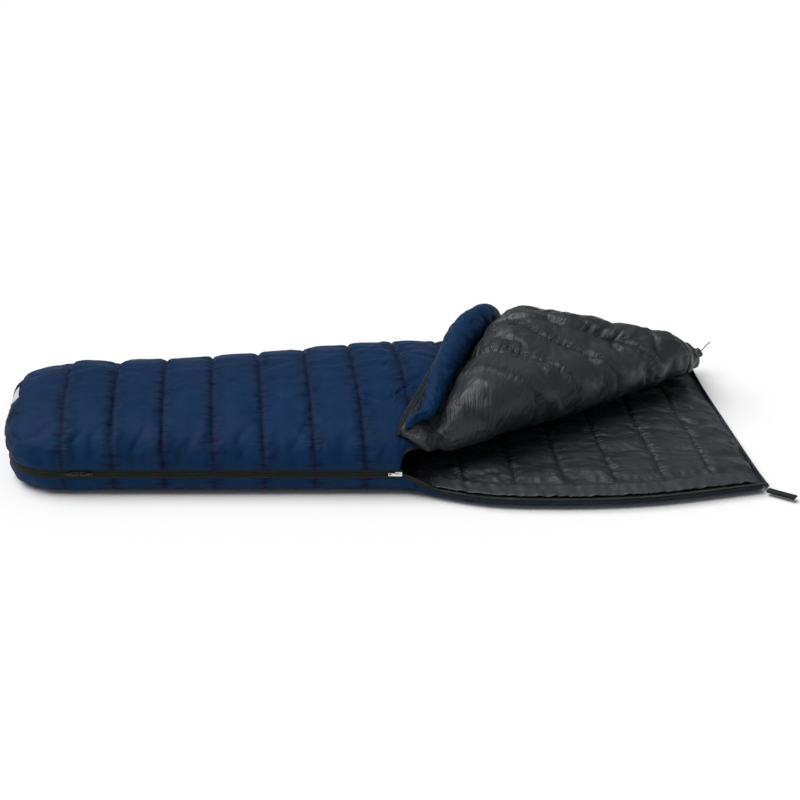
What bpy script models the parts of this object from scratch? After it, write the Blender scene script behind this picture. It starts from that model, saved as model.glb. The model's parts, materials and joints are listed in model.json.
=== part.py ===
"""Quilted sleeping bag with a tapered foot, laid out on its back and unzipped from the neck to mid length.

The top quilt is folded back on itself along a diagonal, so that its lining shows.
Frame: +Z up, X along the bag with the foot at -X, the zip on the -Y side, the floor at Z = 0. Metres.
"""

import math

import bmesh
import bpy
import numpy as np
from mathutils import Matrix, Vector

# ---- driving dimensions -------------------------------------------------------------------------
FOOT_SEAM_X = -0.855  # first quilted seam, where the rounded foot end begins
FOOT_LENGTH = 0.155  # rounded foot end, from that seam to the tip
CHAMBER_PITCH = 0.1285  # distance between quilted seams
CHAMBERS = 14  # full chambers between the foot end and the neck
CLOSED_CHAMBERS = 7  # of these, the ones that the zip still closes

SLIDER_X = 0.010  # where the zip opens
NEAR_Y_AT_SLIDER = -0.352
ZIP_TAPER = -0.1025  # how far the zip side moves out for each metre towards the head
FAR_HALF_WIDTH = (
    (-0.86, 0.268), (-0.40, 0.302), (0.0, 0.345), (0.45, 0.372), (0.80, 0.368), (0.95, 0.352),
)
OPEN_NEAR_Y = (
    (0.010, -0.352), (0.10, -0.392), (0.20, -0.436), (0.38, -0.470), (0.60, -0.480), (0.95, -0.438),
)

RIM_Z = 0.065  # height of the zip and of the far side seam
ZIP_GROOVE = 0.016  # free height between the quilts, where the sliders run
TOP_LOFT = 0.045  # thickness of the top quilt
BOTTOM_LOFT = 0.033
HOLLOW_START = 0.13  # length over which the space between the quilts opens past the foot end
OPEN_EDGE_Z = 0.026  # height of the bottom quilt's loose zip edge
EDGE_THICKNESS = 0.012  # a quilt's sewn edge
CAP_SPREAD = 0.80  # width of the foot end's last row, of the one before it
SCALLOP = 0.010  # how far a chamber bulges above its seams
CROWN_Z = (
    (-0.855, 0.194), (-0.60, 0.182), (-0.30, 0.184), (0.01, 0.190), (0.20, 0.176), (0.50, 0.150),
    (0.95, 0.100),
)
OPEN_RIM_DROP = 0.10  # length over which the loose edge comes down from the slider

FOLD_START = Vector((0.030, -0.332, 0.135))  # fold axis of the opened top quilt, at the slider
FOLD_ANGLE = math.radians(32.3)  # of that axis from +X, in plan
FOLD_DIP = 0.048  # how far the fold presses the quilt under it
FOLD_RADIUS = 0.050  # reach of the round fold beyond its axis
FOLD_GAP = 0.0045  # between the fold axis and the cut edges of the quilt and of the flap
FLAP_START_X = 0.0325  # the flap's first station, just past the slider
ROLL_START_X = 0.0130
FLAP_LAY_GAP = 0.006  # between the flap and the quilt that it lies on
FLAP_LOFT = 0.080
FLAP_FLAT = 0.078  # width of the flap's thin border, which carries the draft tube
FLAP_RISE = 0.090  # width over which the flap then reaches its loft
FLAP_EDGE_Y = ((0.010, -0.356), (0.30, -0.372), (0.55, -0.392), (0.95, -0.412))  # its zip edge before folding
DRAPE_Z = 0.192  # height that the flap keeps over the far side
DRAPE_FALL = 0.72  # how quickly it falls beyond the crown
DRAPE_SHORTENING = 0.0462  # how much less far it reaches in plan because it falls

SKIN = 0.0012  # shell and lining fabric
CLEAR = 0.0007  # gap between neighbouring soft pieces
TUBE_RADIUS = (
    (0.0, 0.009), (0.12, 0.020), (0.25, 0.029), (0.45, 0.037), (0.65, 0.040), (0.85, 0.037), (1.0, 0.022),
)
TUBE_INSET = 0.043  # centre of the flap's draft tube from the zip edge
CLOSED_TUBE_RADIUS = 0.0090

COIL_RADIUS = 0.0015
COIL_HALF_GAP = 0.0004  # the slider's post runs in this slot
CHAIN_OUT = 0.0016  # the chain lies this far outside the shell
TAPE_WIDTH = 0.010
TAPE = 0.0007
SLIDER_LENGTH = 0.018
SLIDER_WIDTH = 0.0120
PLATE = 0.0012
PLATE_GAP = 0.0050  # between the slider's two plates
POST_LENGTH = 0.0050
POST_THICKNESS = 0.0004
POST_INSET = 0.0005  # from the end of the plates
FLANGE = 0.0011
FLANGE_SLOT = 0.0016  # the tape leaves through this slot
BRIDGE_REACH = 0.0052
BRIDGE_RISE = 0.0044
BRIDGE_BAR = 0.0009
BRIDGE_WIDTH = 0.0026
PULL_LENGTH = 0.026
PULL_WIDTH = 0.0080
PULL = 0.0012
PULL_PIN = 0.0007
PIN_OUT = 0.0019  # centre of the pin from the slider's face
PULL_START = 0.0066  # from the pin to the solid part of the tab
PULL_ARM = 0.0012
PULL_ARM_GAP = 0.0004  # between an arm and the bridge
PULL_HOLE = (0.0060, 0.0036)  # along and across the tab
PULL_HOLE_END = 0.0020  # metal left between the hole and the tab's end
FACE_STEP = 0.00005  # keeps joined boxes from sharing a face
BITE = 0.0002  # how far joined boxes run into each other
TOE_SLIDER_X = -0.823
FOOT_SLIDER_X = -0.802

HEM_RADIUS = 0.0055
HEM_WALL = 0.0008
CORD_RADIUS = 0.0014
LOCK_RADIUS = 0.0080
LOCK_HEIGHT = 0.0220
LOCK_FLOOR = 0.0022
PLUNGER_RADIUS = 0.0058
PLUNGER_STROKE = 0.0040
PLUNGER_FOOT = -0.0030
LOCK_PLACE = Vector((0.976, 0.334, 0.066))
LOCK_TURN = math.radians(24.0)
LOCK_TILT = math.radians(35.0)  # the cord leaves it rising this steeply
LOCK_APPROACH = 0.0130  # the cord runs straight from here into the lock
CORD_EXIT = 0.0060  # how far the cord leaves the channel before it turns to the lock
TAIL_LENGTH = 0.0474  # of free cord beyond the lock's centre
PLUNGER_GAP = 0.0003
CORD_SLACK = 0.0010  # the lock's holes are this much wider than the cord
CORD_GAP = 0.0003
SPRING_RADIUS = 0.0038
SPRING_WIRE = 0.0004
SPRING_TURNS = 3
SPRING_GAP = 0.0007  # from the wire's centre to what it presses on
TAB_WIDTH = 0.020
TAB_LENGTH = 0.076
TAB_ANGLE = math.radians(-39.2)
TAB_GAP = 0.0012  # half the gap inside the folded webbing
TAB_PLY = 0.0012
TAB_PLACE = (0.004, -0.0015, 0.012)  # from the neck corner at the zip side
LABEL_PART = (0.10, 0.90, 0.40)  # share of the end facet that the label covers, along and across

# ---- derived places -----------------------------------------------------------------------------
HEAD_X = FOOT_SEAM_X + CHAMBERS * CHAMBER_PITCH
SEAMS = [FOOT_SEAM_X + CHAMBER_PITCH * i for i in range(CHAMBERS + 1)]
ALONG = Vector((math.cos(FOLD_ANGLE), math.sin(FOLD_ANGLE), 0.0))
ACROSS = Vector((-math.sin(FOLD_ANGLE), math.cos(FOLD_ANGLE), 0.0))
SHARES = [angle / 180 for angle in (0, 6, 17, 32, 50, 70, 90, 110, 130, 148, 163, 174, 180)]
BOTTOM_SHARES = [angle / 180 for angle in (0, 8, 20, 33, 60, 90, 120, 147, 168, 180)]
FLAP_SHARES = [0, 0.12, 0.27, 0.42, 0.57, 0.70, 0.80, 0.90, 1.0]
FOOT_REACHES = (0.985, 0.93, 0.80, 0.60, 0.35)

NAVY = (0.012, 0.040, 0.105, 1.0)
BLACK = (0.030, 0.034, 0.040, 1.0)
MATERIALS = {
    "shell_fabric": (NAVY, 0.55, 0.0),
    "lining_fabric": (BLACK, 0.38, 0.0),
    "fill": ((0.80, 0.79, 0.76, 1.0), 0.95, 0.0),
    "zip_tape": ((0.020, 0.024, 0.026, 1.0), 0.80, 0.0),
    "zip_coil": ((0.045, 0.050, 0.045, 1.0), 0.45, 0.0),
    "silver_metal": ((0.78, 0.78, 0.79, 1.0), 0.28, 1.0),
    "black_metal": ((0.02, 0.02, 0.022, 1.0), 0.35, 0.8),
    "webbing": ((0.018, 0.022, 0.022, 1.0), 0.75, 0.0),
    "cord": ((0.02, 0.02, 0.022, 1.0), 0.70, 0.0),
    "black_plastic": ((0.025, 0.025, 0.028, 1.0), 0.42, 0.0),
    "spring_steel": ((0.55, 0.55, 0.56, 1.0), 0.30, 1.0),
    "label": ((0.72, 0.74, 0.74, 1.0), 0.70, 0.0),
}


# ---- scene and mesh helpers ---------------------------------------------------------------------
def clear_scene():
    for obj in list(bpy.data.objects):
        bpy.data.objects.remove(obj)


def new_collection(name):
    made = bpy.data.collections.new(name)
    bpy.context.scene.collection.children.link(made)
    return made


def material(name):
    found = bpy.data.materials.get(name)
    if found:
        return found
    colour, roughness, metallic = MATERIALS[name]
    found = bpy.data.materials.new(name)
    found.use_nodes = True
    shader = found.node_tree.nodes["Principled BSDF"]
    shader.inputs["Base Color"].default_value = colour
    shader.inputs["Roughness"].default_value = roughness
    shader.inputs["Metallic"].default_value = metallic
    found.diffuse_color = colour
    return found


def place(name, data, finish, collection=None):
    obj = bpy.data.objects.new(name, data)
    (collection or PARTS).objects.link(obj)
    data.materials.append(material(finish))
    return obj


def grid_faces(rows, columns, start=0, flip=False):
    """Triangles of a grid, all split along the same diagonal so that nested layers stay parallel."""
    faces = []
    for i in range(rows - 1):
        for j in range(columns - 1):
            a = start + i * columns + j
            b = a + columns
            faces += [(a, b, b + 1), (a, b + 1, a + 1)]
    return [face[::-1] for face in faces] if flip else faces


def outward(mesh):
    """Points every face out of a closed mesh, or one way on an open one."""
    work = bmesh.new()
    work.from_mesh(mesh)
    bmesh.ops.remove_doubles(work, verts=work.verts, dist=1e-6)
    bmesh.ops.recalc_face_normals(work, faces=work.faces)
    work.to_mesh(mesh)
    work.free()


def slab(name, outer, inner, finish):
    """Closed solid between two loft surfaces of the same rows and columns."""
    rows, columns = outer.shape[:2]
    count = rows * columns
    faces = grid_faces(rows, columns) + grid_faces(rows, columns, count, flip=True)
    points = np.concatenate([outer.reshape(-1, 3), inner.reshape(-1, 3)])
    for start in (0, count - columns):
        row = list(range(start, start + columns))
        faces.append((*row, *[j + count for j in row[::-1]]))
    for start in (0, columns - 1):
        side = range(start, count, columns)
        for a, b in zip(side, side[1:]):
            faces.append((a, a + count, b + count, b))
    mesh = bpy.data.meshes.new(name)
    mesh.from_pydata(points.tolist(), [], faces)
    outward(mesh)
    return place(name, mesh, finish)


def skin(name, grid, finish, thickness=SKIN, side=-1.0):
    """Sheet of fabric on a loft surface. Side -1 puts its thickness behind the surface's normals."""
    rows, columns = grid.shape[:2]
    mesh = bpy.data.meshes.new(name)
    mesh.from_pydata(grid.reshape(-1, 3).tolist(), [], grid_faces(rows, columns))
    mesh.validate()
    obj = place(name, mesh, finish)
    solid = obj.modifiers.new("thickness", "SOLIDIFY")
    solid.thickness = thickness
    solid.offset = side
    return obj


def tube(name, points, radius, finish, sides=2, radii=None, collection=None):
    """Round bar along a line of points, with closed ends."""
    data = bpy.data.curves.new(name, "CURVE")
    data.dimensions = "3D"
    data.bevel_depth = radius
    data.bevel_resolution = sides
    data.use_fill_caps = True
    spline = data.splines.new("POLY")
    spline.points.add(len(points) - 1)
    for i, point in enumerate(points):
        spline.points[i].co = (*point, 1.0)
        if radii is not None:
            spline.points[i].radius = radii[i] / radius
    return place(name, data, finish, collection)


def box(name, low, high, finish, collection=None):
    """Box primitive between two corners."""
    work = bmesh.new()
    bmesh.ops.create_cube(work, size=1.0)
    size = Vector(high) - Vector(low)
    centre = (Vector(high) + Vector(low)) / 2
    bmesh.ops.scale(work, vec=size, verts=work.verts)
    bmesh.ops.translate(work, vec=centre, verts=work.verts)
    mesh = bpy.data.meshes.new(name)
    work.to_mesh(mesh)
    work.free()
    return place(name, mesh, finish, collection)


def rod(name, start, end, radius, finish, sides=24, collection=None):
    """Cylinder primitive between two points."""
    start, end = Vector(start), Vector(end)
    work = bmesh.new()
    bmesh.ops.create_cone(
        work, cap_ends=True, segments=sides, radius1=radius, radius2=radius, depth=(end - start).length
    )
    turn = (end - start).to_track_quat("Z", "Y").to_matrix().to_4x4()
    bmesh.ops.transform(work, matrix=Matrix.Translation((start + end) / 2) @ turn, verts=work.verts)
    mesh = bpy.data.meshes.new(name)
    work.to_mesh(mesh)
    work.free()
    return place(name, mesh, finish, collection)


def helper(obj):
    obj.hide_render = True
    obj.display_type = "WIRE"
    return obj


def boolean(obj, other, operation):
    helper(other)
    modifier = obj.modifiers.new(other.name, "BOOLEAN")
    modifier.operation = operation
    modifier.object = other
    return obj


def curve_through(points):
    """Smooth function through a few (x, value) points."""
    xs, ys = (np.array(column, float) for column in zip(*points))
    slopes = np.gradient(ys, xs)

    def value(x):
        x = min(max(x, xs[0]), xs[-1])
        i = min(int(np.searchsorted(xs, x, side="right")) - 1, len(xs) - 2)
        step = xs[i + 1] - xs[i]
        u = (x - xs[i]) / step
        return (
            (1 + 2 * u) * (1 - u) ** 2 * ys[i]
            + u * (1 - u) ** 2 * step * slopes[i]
            + u * u * (3 - 2 * u) * ys[i + 1]
            + u * u * (u - 1) * step * slopes[i + 1]
        )

    return value


def smooth_step(x):
    x = min(max(x, 0.0), 1.0)
    return x * x * (3 - 2 * x)


def signed_power(value, power):
    return math.copysign(abs(value) ** power, value)


# ---- the bag's form -----------------------------------------------------------------------------
far_half_width = curve_through(FAR_HALF_WIDTH)
open_near_y = curve_through(OPEN_NEAR_Y)
crown_z = curve_through(CROWN_Z)
flap_edge_y = curve_through(FLAP_EDGE_Y)


def near_y(x):
    """Zip edge of the bag in plan: straight where it is closed, so that the sliders run true."""
    if x <= SLIDER_X:
        return NEAR_Y_AT_SLIDER + ZIP_TAPER * (x - SLIDER_X)
    return open_near_y(x)


def top_near_y(x):
    """The top quilt's zip side beyond the slider keeps the closed taper under the fold."""
    return NEAR_Y_AT_SLIDER + ZIP_TAPER * (x - SLIDER_X)


def foot_scale(x, length=FOOT_LENGTH):
    """How the section shrinks towards the tip of the foot end, 1 at the first seam."""
    reach = min(max((FOOT_SEAM_X - x) / length, 0.0), 1.0)
    return (1 - reach**3) ** (1 / 3)


def chamber_bulge(x, depth=SCALLOP):
    """Rise of a filled chamber above its two seams."""
    if x <= FOOT_SEAM_X:
        return depth * min((FOOT_SEAM_X - x) / 0.04, 1.0)
    share = ((x - FOOT_SEAM_X) / CHAMBER_PITCH) % 1.0
    return depth * max(1 - (2 * share - 1) ** 2, 0.0) ** 0.5


def fold_y(x):
    return FOLD_START.y + math.tan(FOLD_ANGLE) * (x - FOLD_START.x)


def from_fold(x, y):
    """Distance in plan from the fold axis, positive towards the foot and the far side."""
    return (Vector((x, y, 0)) - FOLD_START).dot(ACROSS)


def rim_half_gap(x, share):
    """Half the gap between the quilts' rims: open for the zip on the near side and round the foot."""
    far_open = smooth_step((FOOT_SEAM_X + 0.10 - x) / 0.10)
    open_share = (1 - share) + share * far_open
    return CLEAR / 2 + open_share * (ZIP_GROOVE - CLEAR) / 2


def top_section(x):
    far = far_half_width(x)
    return (far + top_near_y(x)) / 2, (far - top_near_y(x)) / 2


def share_at(x, y):
    """Place of a plan point in the top quilt's section."""
    middle, half = top_section(x)
    lean = min(max((middle - y) / half, -1.0), 1.0)
    return math.acos(signed_power(lean, 1 / TOP_ROUNDNESS)) / math.pi


def top_first_share(x):
    """Where the top quilt's section begins: at the zip, or at the fold beyond the slider."""
    if fold_y(x) <= top_near_y(x) + FOLD_GAP:
        return 0.0
    return share_at(x, fold_y(x) + FOLD_GAP)


def top_outer(x, share, bulging=True):
    """Shell side of the top quilt: an arch from the zip edge (share 0) to the far edge (share 1)."""
    angle = math.pi * share
    middle, half = top_section(x)
    scale = foot_scale(x)
    rim = RIM_Z + rim_half_gap(x, share)
    bulge = chamber_bulge(x) if bulging else 0.0
    y = middle - half * scale * signed_power(math.cos(angle), TOP_ROUNDNESS)
    z = rim + (crown_z(x) - rim + bulge) * scale * max(math.sin(angle), 0.0) ** 0.75
    opened = smooth_step((x - SLIDER_X) / 0.10)
    pressed = FOLD_DIP * opened * math.exp(-((from_fold(x, y) / 0.13) ** 2)) * math.sin(angle)
    return x, y, z - min(pressed, max(z - rim, 0.0) * 0.6)


def hollow_scale(x):
    """Opens the hollow between the quilts just past the foot end."""
    return smooth_step((x - FOOT_SEAM_X) / HOLLOW_START) ** 0.7


def top_inner(x, share):
    """Lining side of the top quilt."""
    angle = math.pi * share
    _, y_out, z_out = top_outer(x, share, bulging=False)
    middle, half = top_section(x)
    rim = RIM_Z + rim_half_gap(x, share)
    neck = 1 - 0.70 * smooth_step((x - (HEAD_X - 0.10)) / 0.10)
    loft = EDGE_THICKNESS * 0.4 + (TOP_LOFT * neck - EDGE_THICKNESS * 0.4) * max(math.sin(angle), 0.0) ** 0.6
    sewn = max(smooth_step(from_fold(x, y_out) / 0.04), smooth_step((SLIDER_X - x) / 0.05))
    y = y_out + (middle - y_out) * sewn * EDGE_THICKNESS / half
    return x, y, rim + max(z_out - loft - rim, 0.0) * hollow_scale(x)


def bottom_rim_z(x, share):
    """Height of the bottom quilt's edges: the zip edge comes down where the zip is open."""
    opened = smooth_step((x - SLIDER_X) / OPEN_RIM_DROP)
    groove = RIM_Z - rim_half_gap(x, 0.0)
    near = groove + (OPEN_EDGE_Z - groove) * opened
    far = RIM_Z - rim_half_gap(x, 1.0) - 0.022 * smooth_step((x - (HEAD_X - 0.25)) / 0.25)
    return near + (far - near) * smooth_step(share)


def bottom_section(x):
    far = far_half_width(x)
    return (far + near_y(x)) / 2, (far - near_y(x)) / 2


def bottom_outer(x, share):
    """Shell side of the bottom quilt, flat where it lies on the floor."""
    angle = math.pi * share
    middle, half = bottom_section(x)
    scale = foot_scale(x)
    y = middle - half * scale * signed_power(math.cos(angle), BOTTOM_ROUNDNESS)
    depth = min(1.06 * max(math.sin(angle), 0.0) ** 0.35, 1.0) * scale**0.4
    return x, y, bottom_rim_z(x, share) * (1 - depth)


def bottom_inner(x, share):
    """Lining side of the bottom quilt."""
    angle = math.pi * share
    middle, half = bottom_section(x)
    rim = bottom_rim_z(x, share)
    neck = 1 - 0.60 * smooth_step((x - (HEAD_X - 0.07)) / 0.07)
    opened = smooth_step((x - SLIDER_X) / OPEN_RIM_DROP)
    rise = max(math.sin(angle), 0.0) ** 0.5
    bulge = chamber_bulge(x, SCALLOP * 0.8) * opened * smooth_step((math.sin(angle) - 0.35) / 0.4) * neck
    y = middle - (half - EDGE_THICKNESS) * signed_power(math.cos(angle), TOP_ROUNDNESS)
    return x, y, rim + (BOTTOM_LOFT * neck - rim) * rise + bulge


def surface(point, xs, shares):
    """Loft grid of a section function, its normals up. Shares may depend on x."""
    return np.array([[point(x, share) for share in (shares(x) if callable(shares) else shares)] for x in xs])


def shifted(grid, distance):
    """The same grid moved along its normals, as a Solidify of that thickness moves it."""
    rows, columns = grid.shape[:2]
    mesh = bpy.data.meshes.new("moved")
    mesh.from_pydata(grid.reshape(-1, 3).tolist(), [], grid_faces(rows, columns))
    normals = np.array([normal.vector[:] for normal in mesh.vertex_normals])
    bpy.data.meshes.remove(mesh)
    return grid + distance * normals.reshape(grid.shape)


def foot_cap(row, rim):
    """Last row at the very tip of the foot end, gathered onto the rim line."""
    cap = np.array(row)
    cap[:, 0] = FOOT_SEAM_X - FOOT_LENGTH
    middle = (cap[0, 1] + cap[-1, 1]) / 2
    cap[:, 1] = middle + (cap[:, 1] - middle) * CAP_SPREAD
    cap[:, 2] = rim
    return cap


def seam_stations(first, last, parts=2):
    stations = [first]
    for a, b in zip(SEAMS, SEAMS[1:]):
        stations += [x for x in np.linspace(a, b, parts + 1) if stations[-1] + 1e-6 < x < last - 1e-6]
    return [*stations, last]


FOOT_STATIONS = [FOOT_SEAM_X - FOOT_LENGTH * reach for reach in FOOT_REACHES]
QUILT_STATIONS = sorted([*seam_stations(FOOT_SEAM_X, HEAD_X), SLIDER_X])
TOP_ROUNDNESS = 0.85
BOTTOM_ROUNDNESS = 0.55


def top_shares(x):
    first = top_first_share(x)
    return [first + (1 - first) * share for share in SHARES]


def drawn_in(grid):
    """A grid with its four edges drawn in along their own facets."""
    grid = grid.copy()
    for end, beside in ((0, 1), (-1, -2)):
        run = grid[beside] - grid[end]
        grid[end] += run * (CLEAR / np.linalg.norm(run, axis=1, keepdims=True))
    for end, beside in ((0, 1), (-1, -2)):
        run = grid[:, beside] - grid[:, end]
        grid[:, end] += run * (CLEAR / np.linalg.norm(run, axis=1, keepdims=True))
    return grid


def chamber_rows(grid, first, last):
    """The rows of a grid between two seams, drawn in from the seams and from the sewn edges."""
    return drawn_in(grid[[i for i, x in enumerate(QUILT_STATIONS) if first - 1e-6 < x < last + 1e-6]])


# ---- quilts -------------------------------------------------------------------------------------
def fill_chambers(name, outer, inner, spans):
    for number, (first, last) in spans:
        label = f"{name}_{number:02d}" if isinstance(number, int) else f"{name}_{number}"
        slab(label, chamber_rows(outer, first, last), chamber_rows(inner, first, last), "fill")


def make_bottom_quilt():
    shell = surface(bottom_outer, FOOT_STATIONS + QUILT_STATIONS, BOTTOM_SHARES)
    capped = np.concatenate([[foot_cap(shell[0], RIM_Z - ZIP_GROOVE / 2)], shell])
    skin("bottom_shell", capped, "shell_fabric", side=1.0)
    lining = surface(bottom_inner, QUILT_STATIONS, BOTTOM_SHARES)
    skin("bottom_lining", lining, "lining_fabric", side=-1.0)
    inset = SKIN + CLEAR
    outer = shifted(shell, inset)
    foot = outer[1 : len(FOOT_STATIONS) + 1].copy()
    foot[-1, :, 0] = FOOT_SEAM_X - inset - CLEAR
    lid = foot.copy()
    lid[..., 2] = RIM_Z - ZIP_GROOVE / 2 - CLEAR
    foot[..., 2] = np.minimum(foot[..., 2], lid[..., 2] - SKIN)
    slab("bottom_fill_00", drawn_in(foot), drawn_in(lid), "fill")
    spans = [(i + 1, (a, b)) for i, (a, b) in enumerate(zip(SEAMS, SEAMS[1:]))]
    outer, inner = outer[len(FOOT_STATIONS) :], shifted(lining, -inset - CLEAR)
    for grid in (outer, inner):
        grid[:, [0, -1], 2] -= 2 * CLEAR
    fill_chambers("bottom_fill", outer, inner, spans)


def make_top_quilt():
    shell = surface(top_outer, FOOT_STATIONS + QUILT_STATIONS, top_shares)
    capped = np.concatenate([[foot_cap(shell[0], RIM_Z + ZIP_GROOVE / 2)], shell])
    skin("top_shell", capped, "shell_fabric", side=-1.0)
    lining = surface(top_inner, QUILT_STATIONS, top_shares)
    skin("top_lining", lining, "lining_fabric", side=1.0)
    inset = SKIN + CLEAR
    outer = shifted(shell, -inset)
    foot = outer[1 : len(FOOT_STATIONS) + 1].copy()
    foot[-1, :, 0] = FOOT_SEAM_X - inset - CLEAR
    floor = foot.copy()
    floor[..., 2] = RIM_Z + ZIP_GROOVE / 2 + CLEAR
    foot[..., 2] = np.maximum(foot[..., 2], floor[..., 2] + SKIN)
    slab("top_fill_00", drawn_in(foot), drawn_in(floor), "fill")
    closed = SEAMS[: CLOSED_CHAMBERS + 1]
    spans = [(i + 1, (a, b)) for i, (a, b) in enumerate(zip(closed, closed[1:]))]
    spans.append(("under_flap", (closed[-1], HEAD_X)))
    fill_chambers("top_fill", outer[len(FOOT_STATIONS) :], shifted(lining, inset + CLEAR), spans)


# ---- flap ---------------------------------------------------------------------------------------
def folded(x, y):
    """Where a point of the unfolded top quilt lies in plan once it is folded over the fold axis."""
    run = Vector((x - FOLD_START.x, y - FOLD_START.y, 0))
    reach = -run.dot(ACROSS)
    reach -= DRAPE_SHORTENING * smooth_step((reach - 0.25) / 0.33)
    over = FOLD_START + ALONG * run.dot(ALONG) + ACROSS * reach
    return over.x, over.y


def lay_z(x, y):
    """Height that the flap lies at: on the quilt below it, or draped beyond the far side."""
    place_x = min(max(x, SLIDER_X), HEAD_X)
    under = top_outer(place_x, share_at(place_x, y), bulging=False)[2] + SCALLOP
    fall = max(y - 0.12, 0.0)
    crown = (crown_z(place_x) / crown_z(SLIDER_X)) ** 0.6
    drape = (DRAPE_Z - DRAPE_FALL * fall * fall) * crown
    blend = smooth_step((y - 0.02) / 0.14)
    return max(under, drape * blend) + FLAP_LAY_GAP


def flap_length(x):
    return fold_y(x) - FOLD_GAP - flap_edge_y(x)


def flap_point(x, share, upper=False):
    """Point of the flap: share 0 at the fold and 1 at the zip edge, on its shell or its lining side."""
    from_edge = flap_length(x) * (1 - share)
    plan_x, plan_y = folded(x, flap_edge_y(x) + from_edge)
    z = lay_z(plan_x, plan_y)
    if upper:
        to_zip = smooth_step((from_edge - FLAP_FLAT) / FLAP_RISE) ** 0.6
        to_neck = smooth_step((HEAD_X - x) / 0.10) ** 0.6
        to_start = smooth_step((x - FLAP_START_X) / 0.22) ** 0.5
        z += EDGE_THICKNESS * 0.8 + (FLAP_LOFT + chamber_bulge(x)) * to_zip * to_neck * to_start
    return plan_x, plan_y, z


def flap_stations():
    return seam_stations(FLAP_START_X, HEAD_X)


def flap_surface(upper):
    return np.array([[flap_point(x, share, upper) for share in FLAP_SHARES] for x in flap_stations()])


def make_flap():
    """The folded part of the top quilt, lining up: its grids run the other way round than the quilt's."""
    under = flap_surface(upper=False)
    upper = flap_surface(upper=True)
    skin("flap_shell", under, "shell_fabric", side=1.0)
    skin("flap_lining", upper, "lining_fabric", side=-1.0)
    inset = SKIN + CLEAR
    slab("flap_fill", drawn_in(shifted(upper, -inset - CLEAR)), drawn_in(shifted(under, inset)), "fill")


def make_fold_roll():
    """The bend that joins the lower quilt to the flap: half a roll along the fold axis."""
    rings = []
    steps = 8
    for x in [ROLL_START_X, *flap_stations()]:
        bottom = top_inner(x, top_first_share(x))[2] + CLEAR
        top = flap_point(x, 0.0, upper=True)[2]
        foot = Vector((x, fold_y(x), 0)) - ACROSS * FOLD_GAP / 3
        middle, half = (top + bottom) / 2, (top - bottom) / 2
        reach = min(FOLD_RADIUS, half)
        ring = []
        for i in range(steps + 1):
            angle = math.pi * (0.5 + i / steps)
            rise = Vector((0, 0, middle + half * math.sin(angle)))
            ring.append(foot + ACROSS * (reach * math.cos(angle)) + rise)
        rings.append(np.array([tuple(point) for point in ring]))
    loft("fold_roll", rings, "lining_fabric")


def loft(name, rings, finish):
    """Closed solid through rings of points, with flat fans on its ends."""
    count = len(rings[0])
    points = np.concatenate(rings).tolist()
    faces = []
    for i in range(len(rings) - 1):
        for j in range(count):
            a, b = i * count + j, i * count + (j + 1) % count
            faces.append((a, b, b + count, a + count))
    for ring, start in ((rings[0], 0), (rings[-1], (len(rings) - 1) * count)):
        centre = len(points)
        points.append(list(ring.mean(axis=0)))
        faces += [(start + j, start + (j + 1) % count, centre) for j in range(count)]
    mesh = bpy.data.meshes.new(name)
    mesh.from_pydata(points, [], faces)
    outward(mesh)
    return place(name, mesh, finish)


def outward_of_flap_edge():
    """Direction in plan out of the flap's zip edge."""
    return -(ALONG * ALONG.y - ACROSS * ACROSS.y)


def make_draft_tubes():
    """Filled tubes behind the zip: one on the flap's border, one along the closed zip."""
    xs = [x for x in flap_stations() if x < HEAD_X - 0.04]
    radius_at = curve_through(TUBE_RADIUS)
    radii = [radius_at((x - xs[0]) / (xs[-1] - xs[0])) for x in xs]
    path = []
    for x, radius in zip(xs, radii):
        from_edge = min(TUBE_INSET, flap_length(x) * 0.5)
        seat = Vector(flap_point(x, 1 - from_edge / flap_length(x), upper=True))
        path.append(seat + Vector((0, 0, radius + SKIN + 7 * CLEAR)))
    path[0] += (path[1] - path[0]) * 0.25
    tube("draft_tube", path, max(radii), "shell_fabric", sides=2, radii=radii)
    inner = []
    for x in (FOOT_SEAM_X + 0.06, SLIDER_X - 0.012):
        inner.append(Vector((x, near_y(x) + EDGE_THICKNESS + CLOSED_TUBE_RADIUS + 0.004, RIM_Z + 0.002)))
    tube("draft_tube_closed", inner, CLOSED_TUBE_RADIUS, "shell_fabric", sides=2)


# ---- zip ----------------------------------------------------------------------------------------
def zip_seam():
    """Sewn line of the closed zip: from the far side round the foot end, then straight to the slider."""
    stations = [FOOT_SEAM_X, *FOOT_STATIONS[::-1]]
    far = [Vector((x, top_outer(x, 1.0)[1], RIM_Z)) for x in stations]
    near = [Vector((x, top_outer(x, 0.0)[1], RIM_Z)) for x in stations]
    tip = FOOT_SEAM_X - FOOT_LENGTH
    middle = (far[-1].y + near[-1].y) / 2
    corners = [Vector((tip, middle + (p.y - middle) * CAP_SPREAD, RIM_Z)) for p in (far[-1], near[-1])]
    return [*far, *corners, *near[::-1], Vector((SLIDER_X, NEAR_Y_AT_SLIDER, RIM_Z))]


def offset_path(path, distance):
    """The same line moved sideways in plan, to its right, with mitred corners."""
    moved = []
    for i, point in enumerate(path):
        before = (point - path[i - 1]).normalized() if i else None
        after = (path[i + 1] - point).normalized() if i + 1 < len(path) else None
        before, after = before or after, after or before
        side = Vector((before.y, -before.x, 0)) + Vector((after.y, -after.x, 0))
        moved.append(point + side * (2 * distance / side.length_squared))
    return moved


def tape_strip(name, path, low, high):
    """Zip tape standing upright along a path."""
    rows = np.array([[tuple(p + Vector((0, 0, low))), tuple(p + Vector((0, 0, high)))] for p in path])
    skin(name, rows, "zip_tape", thickness=TAPE, side=0.0)


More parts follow.
